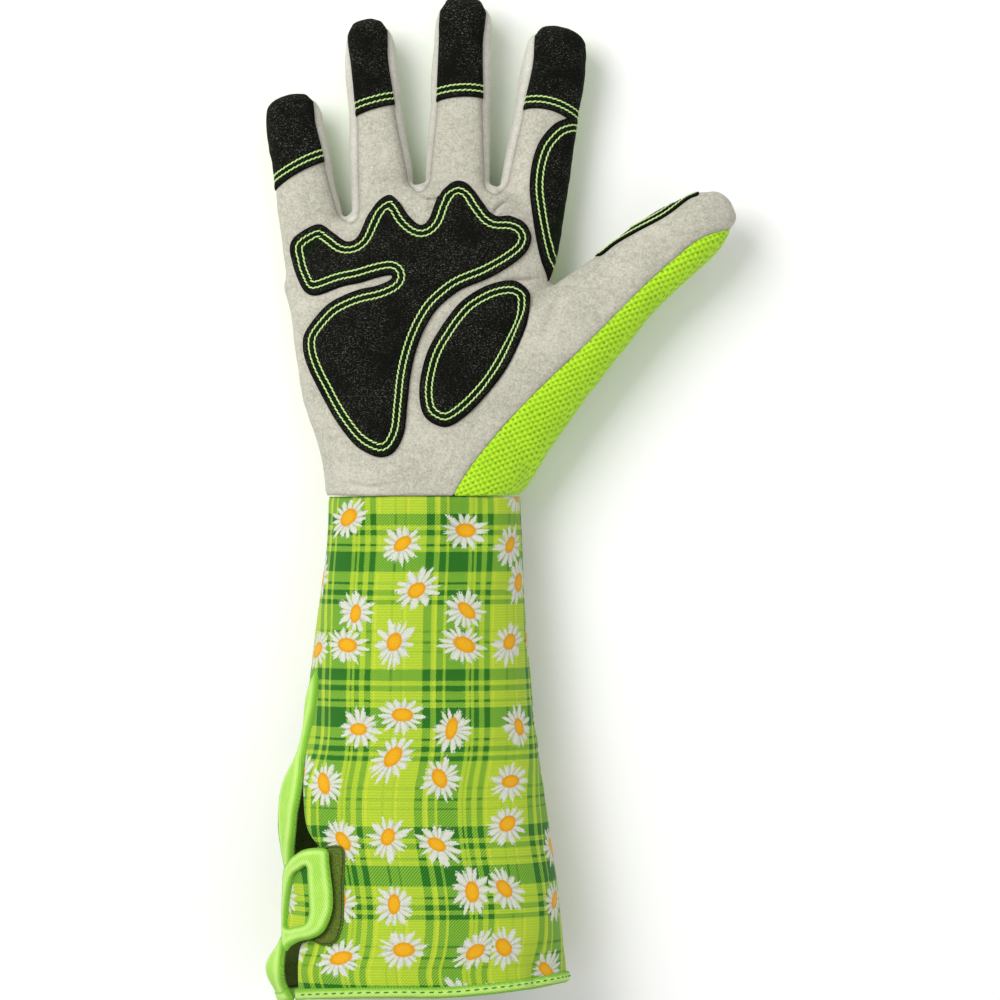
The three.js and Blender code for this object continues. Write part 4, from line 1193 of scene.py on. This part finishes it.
# Tape folded round an edge: full height over the cloth, closing round the free edge
def tapeOn(name, skin, free, border, outer, inner, roll=1.0):
    centre, reach = (outer + inner) / 2, (outer - inner) / 2
    close = roundEdge(free, reach * roll)
    thinner = tapes["lowDepth"] * (1 - roundEdge(border, tapes["lowEdge"]))
    top = np.minimum(centre + reach * close, outer - thinner)
    under = np.maximum(centre - reach * close, inner + thinner)
    return makeWall(name, skin, top, under, [limeTape], np.minimum(free, border))


# The hem's tape goes round the mouth from one edge of the slit to the other
hemSkin = cuffSkin(2 * np.pi * np.arange(520) / 520 - 0.6 * np.pi, np.linspace(0.9, 1.02, 46), True)
x, y, z = hemSkin["place"].T
hemSkin.layers["rise"] = y - hemY(x, z)
hemSkin.layers["border"] = cuff["bindingWidth"] - hemSkin["rise"]
inSlit = [edgeX(frontEdge, y) - x - 1.2, x - edgeX(backEdge, y) - 0.6, z - seamZ(cuffSeam, y)]
hemSkin.layers["open"] = -np.minimum.reduce(inSlit)
part = hemSkin.cut(np.minimum.reduce([hemSkin[key] for key in ("rise", "border", "open")]))
pieces["hemBinding"] = tapeOn("hemBinding", part, np.minimum(part["rise"], part["open"]), part["border"],
                              tapes["top"] + tapes["hemExtra"], tapes["under"])
x, y, z = part["place"].T
part = part.cut(np.maximum(x - edgeX(frontEdge, y) - 3, 36 - z))
lifted = part.lifted(tapes["threadLift"])
stitchLines["green"] += lifted.lines(part["rise"], cuff["bindingWidth"] - tapes["threadRow"])

# The slit's tape covers the back panel's edge and turns in at the hem
leftTurns = np.linspace(0.52 * np.pi, 1.12 * np.pi, 150)
slitSkin = cuffSkin(leftTurns, np.linspace(0.31, 1.03, 230), False)
x, y, z = slitSkin["place"].T
slitSkin.layers["free"] = edgeX(backEdge, y) - x
start = -backEdge[0][1] * cuff["length"]
narrowing = 10 * np.clip((y - start) / 20 + 1, 0, 1)
slitSkin.layers["border"] = np.minimum(z - seamZ(tapeSeam, y) - narrowing, start - y)
slitSkin.layers["hem"] = y - hemY(x, z) + 0.4
part = slitSkin.cut(np.minimum.reduce([slitSkin[key] for key in ("free", "border", "hem")]))
pieces["slitBinding"] = tapeOn("slitBinding", part, np.minimum(part["free"], part["hem"]), part["border"],
                               tapes["top"], tapes["under"])

# The tab and the patch under it
proud = np.array([strap["aside"], 0.0])
strapLoop = rounded(onCuff(strapOutline) + proud, 6)
windowLoop = rounded(onCuff(strapWindow) + proud, 6)
strapSkin = cuffSkin(np.linspace(0.5 * np.pi, 1.05 * np.pi, 190), np.linspace(0.66, 0.94, 130), False)
plan = strapSkin["place"][:, :2]
strapSkin.layers["free"] = inside(plan, strapLoop)
strapSkin.layers["window"] = -inside(plan, windowLoop)
strapSkin.layers["high"] = strapSkin["place"][:, 2] - strap["low"] * cuff["mouthDepth"]
part = strapSkin.cut(np.minimum.reduce([strapSkin[key] for key in ("free", "window", "high")]))
free = np.minimum(part["free"], part["high"])
pieces["strapBinding"] = tapeOn("strapBinding", part, free, part["window"], strap["top"], strap["under"],
                                strap["roll"])
part = strapSkin.cut(np.minimum.reduce([strapSkin["free"] - strap["clothInset"], strapSkin["high"] - 1,
                                        strap["clothLap"] - strapSkin["window"]]))
pieces["strapCloth"] = makeWall("strapCloth", part, strap["clothTop"], strap["clothUnder"],
                                [printedCloth, clothReverse], None, part["cloth"])
flatSizes["strapCloth"] = flatSize(part)

hookSkin = cuffSkin(np.linspace(0.5 * np.pi, 0.95 * np.pi, 150), np.linspace(0.66, 0.94, 130), False)
hookLoop = rounded(onCuff(hookOutline), 6)
hookSkin.layers["inner"] = inside(hookSkin["place"][:, :2], hookLoop)
hookSkin.layers["slit"] = cuffFields(hookSkin)[0]
part = hookSkin.cut(np.minimum(hookSkin["inner"], hookSkin["slit"]))
top = hook["edge"] + hook["rise"] * np.clip(part["inner"] / hook["edgeWidth"], 0, 1)
pieces["hookPatch"] = makeWall("hookPatch", part, top, hook["low"], [hookPile], part["inner"])
stitchLines["dark"] = part.lifted(hook["threadLift"]).lines(part["inner"], hook["threadRow"])

# Stitches, by geometry nodes along the lines

print("stage: stitches")
threads = {
    "lime": {"pitch": 2.05, "length": 2.7, "width": 0.72, "slant": 13, "finish": limeThread},
    "green": {"pitch": 3.7, "length": 2.3, "width": 0.6, "slant": 4, "finish": greenThread},
    "dark": {"pitch": 1.7, "length": 1.75, "width": 0.5, "slant": 3, "finish": darkThread},
}


def stitchTree():
    tree = bpy.data.node_groups.new("stitchRows", "GeometryNodeTree")
    sockets = tree.interface
    sockets.new_socket("Path", in_out="INPUT", socket_type="NodeSocketGeometry")
    for label in ("Pitch", "Length", "Width", "Slant"):
        sockets.new_socket(label, in_out="INPUT", socket_type="NodeSocketFloat")
    sockets.new_socket("Seed", in_out="INPUT", socket_type="NodeSocketInt")
    sockets.new_socket("Thread", in_out="INPUT", socket_type="NodeSocketMaterial")
    sockets.new_socket("Stitches", in_out="OUTPUT", socket_type="NodeSocketGeometry")

    def add(kind, settings=None, inputs=None):
        node = tree.nodes.new(kind)
        for key, value in (settings or {}).items():
            setattr(node, key, value)
        for key, value in (inputs or {}).items():
            if hasattr(value, "is_output"):
                tree.links.new(value, node.inputs[key])
            else:
                node.inputs[key].default_value = value
        return node

    given = add("NodeGroupInput").outputs
    curve = add("GeometryNodeMeshToCurve", inputs={0: given["Path"]})
    dots = add("GeometryNodeResampleCurve", {"mode": "LENGTH"},
               {"Curve": curve.outputs[0], "Length": given["Pitch"]})
    ball = add("GeometryNodeMeshUVSphere", inputs={"Segments": 7, "Rings": 5, "Radius": 0.5})
    size = add("ShaderNodeCombineXYZ", inputs={0: given["Length"], 1: given["Width"], 2: given["Width"]})
    long = add("GeometryNodeTransform", inputs={"Geometry": ball.outputs[0], "Scale": size.outputs[0]})
    soft = add("GeometryNodeSetShadeSmooth", inputs={0: long.outputs[0]})
    up = add("GeometryNodeInputNamedAttribute", {"data_type": "FLOAT_VECTOR"}, {"Name": "surfaceUp"})
    ahead = add("GeometryNodeInputTangent")
    facing = add("FunctionNodeAxesToRotation", {"primary_axis": "X", "secondary_axis": "Z"},
                 {"Primary Axis": ahead.outputs[0], "Secondary Axis": up.outputs[0]})
    chance = add("FunctionNodeRandomValue", {"data_type": "FLOAT"}, {"Seed": given["Seed"]})
    chance.inputs[2].default_value, chance.inputs[3].default_value = -0.07, 0.07
    lean = add("ShaderNodeMath", {"operation": "ADD"}, {0: given["Slant"], 1: chance.outputs[1]})
    spin = add("FunctionNodeAxisAngleToRotation", inputs={"Axis": (0, 0, 1), "Angle": lean.outputs[0]})
    turned = add("FunctionNodeRotateRotation", {"rotation_space": "LOCAL"},
                 {0: facing.outputs[0], 1: spin.outputs[0]})
    placed = add("GeometryNodeInstanceOnPoints", inputs={
        "Points": dots.outputs[0], "Instance": soft.outputs[0], "Rotation": turned.outputs[0]})
    real = add("GeometryNodeRealizeInstances", inputs={0: placed.outputs[0]})
    finish = add("GeometryNodeSetMaterial",
                 inputs={"Geometry": real.outputs[0], "Material": given["Thread"]})
    tree.links.new(finish.outputs[0], add("NodeGroupOutput").inputs[0])
    return tree


def makeStitches(name, lines, thread, tree, seed):
    points, ups, edges, start = [], [], [], 0
    for line in lines:
        path, up, closed = line["place"], line["normal"], line["closed"]
        for _ in range(6):
            if closed:
                path = (np.roll(path, 1, 0) + 2 * path + np.roll(path, -1, 0)) / 4
            else:
                path = np.concatenate([path[:1], (path[:-2] + 2 * path[1:-1] + path[2:]) / 4, path[-1:]])
        n = len(path)
        points.append(path)
        ups.append(up / np.linalg.norm(up, axis=1, keepdims=True))
        edges += [(start + i, start + (i + 1) % n) for i in range(n if closed else n - 1)]
        start += n
    mesh = bpy.data.meshes.new(name)
    path = onTable(np.concatenate(points))
    path[:, 2] = np.maximum(path[:, 2], tabletop["stitchClearance"])
    mesh.from_pydata(((path + frameShift) / 1000).tolist(), edges, [])
    mesh.attributes.new("surfaceUp", "FLOAT_VECTOR", "POINT").data.foreach_set(
        "vector", np.concatenate(ups).astype(np.float32).ravel())
    path = bpy.data.objects.new(name + "Path", mesh)
    bpy.context.scene.collection.objects.link(path)
    rows = path.modifiers.new("Stitches", "NODES")
    rows.node_group = tree
    values = {key.capitalize(): thread[key] / 1000 for key in ("pitch", "length", "width")}
    values |= {"Slant": math.radians(thread["slant"]), "Seed": seed, "Thread": thread["finish"]}
    for item in tree.interface.items_tree:
        if item.item_type == "SOCKET" and item.in_out == "INPUT" and item.name in values:
            rows[item.identifier] = values[item.name]
    made = bpy.data.meshes.new_from_object(path.evaluated_get(bpy.context.evaluated_depsgraph_get()))
    bpy.data.objects.remove(path)
    made.name = name
    piece = bpy.data.objects.new(name, made)
    bpy.context.scene.collection.objects.link(piece)
    return piece


rowsTree = stitchTree()
for seed, (label, thread) in enumerate(threads.items()):
    name = label + "Stitches"
    pieces[name] = makeStitches(name, stitchLines[label], thread, rowsTree, seed)

# What each piece stands for

stands = {
    "palmLeather": ("grey_suede", "palm_panel"),
    "backKnit": ("lime_mesh", "back_panel"),
    "pinkyRingWall": ("pale_suede", "sidewall_pinky_ring"),
    "ringMiddleWall": ("pale_suede", "sidewall_ring_middle"),
    "middleIndexWall": ("pale_suede", "sidewall_middle_index"),
    "pinkyCap": ("black_leather", "cap_pinky"),
    "ringCap": ("black_leather", "cap_ring"),
    "middleCap": ("black_leather", "cap_middle"),
    "indexCap": ("black_leather", "cap_index"),
    "palmPatch": ("black_leather", "palm_patch"),
    "thumbPad": ("black_leather", "thumb_pad"),
    "indexSidePatch": ("black_leather", "index_side_patch"),
    "thumbPatch": ("black_leather", "thumb_patch"),
    "cuffFront": ("printed_cloth", "cuff_front_panel"),
    "cuffBack": ("printed_cloth", "cuff_back_panel"),
    "slitBinding": ("lime_tape", "slit_binding"),
    "hemBinding": ("lime_tape", "hem_binding"),
    "strapCloth": ("printed_cloth", "strap_panel"),
    "strapBinding": ("lime_tape", "strap_binding"),
    "hookPatch": ("hook_loop", "hook_loop_patch"),
    "limeStitches": ("lime_tape", None),
    "greenStitches": ("lime_tape", None),
    "darkStitches": ("hook_loop", None),
}
for name, piece in pieces.items():
    slotName, node = stands[name]
    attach(piece, "root")
    if node:
        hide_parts(node)
for name, size in flatSizes.items():
    print("sheet", name, "flat", [round(v, 4) for v in size["flat"]], "m, area", round(size["area"], 5))

# Camera, light and floor

print("stage: studio")
studio = {"distance": 1.8, "lens": 154.3, "x": 0.00024, "y": -0.00121, "subjectHeight": 0.02,
          "floorSize": 6.0, "ambient": 0.62}
lights = {"keyLight": {"power": 26.0, "size": 1.1, "place": (-0.9, 0.7, 1.5)},
          "fillLight": {"power": 3.0, "size": 1.6, "place": (1.1, -0.5, 1.4)}}
cameraData = bpy.data.cameras.new("camera")
cameraData.lens = studio["lens"]
cameraData.sensor_width = 36
cameraData.clip_start, cameraData.clip_end = 0.05, 60
camera = bpy.data.objects.new("camera", cameraData)
camera.location = (studio["x"], studio["y"], studio["subjectHeight"] + studio["distance"])
bpy.context.scene.collection.objects.link(camera)
bpy.context.scene.camera = camera

for name, light in lights.items():
    data = bpy.data.lights.new(name, "AREA")
    data.energy, data.size, data.shape = light["power"], light["size"], "SQUARE"
    lamp = bpy.data.objects.new(name, data)
    lamp.location = light["place"]
    lamp.rotation_euler = (-Vector(light["place"])).to_track_quat("-Z", "Y").to_euler()
    bpy.context.scene.collection.objects.link(lamp)

half = studio["floorSize"] / 2
floorMesh = bpy.data.meshes.new("floor")
corners = [(-half, -half, 0), (half, -half, 0), (half, half, 0), (-half, half, 0)]
floorMesh.from_pydata(corners, [], [(0, 1, 2, 3)])
floorFinish = Finish("floorFinish", 0.9, specular=0.1)
tone = floorFinish.noise(floorFinish.place(), 300.0, 2.0)
paint = floorFinish.mix(tone, colour(246, 246, 245), colour(249, 249, 248))
floorMesh.materials.append(floorFinish.done(paint))
floor = bpy.data.objects.new("floor", floorMesh)
bpy.context.scene.collection.objects.link(floor)

world = bpy.data.worlds.new("studio")
world.use_nodes = True
world.node_tree.nodes["Background"].inputs["Color"].default_value = (1, 1, 1, 1)
world.node_tree.nodes["Background"].inputs["Strength"].default_value = studio["ambient"]
bpy.context.scene.world = world
bpy.context.scene.view_settings.view_transform = "Standard"

total = 0
for name, piece in pieces.items():
    count = sum(len(p.vertices) - 2 for p in piece.data.polygons)
    total += count
    print("piece", name, count, "triangles")
print("all pieces:", total, "triangles")
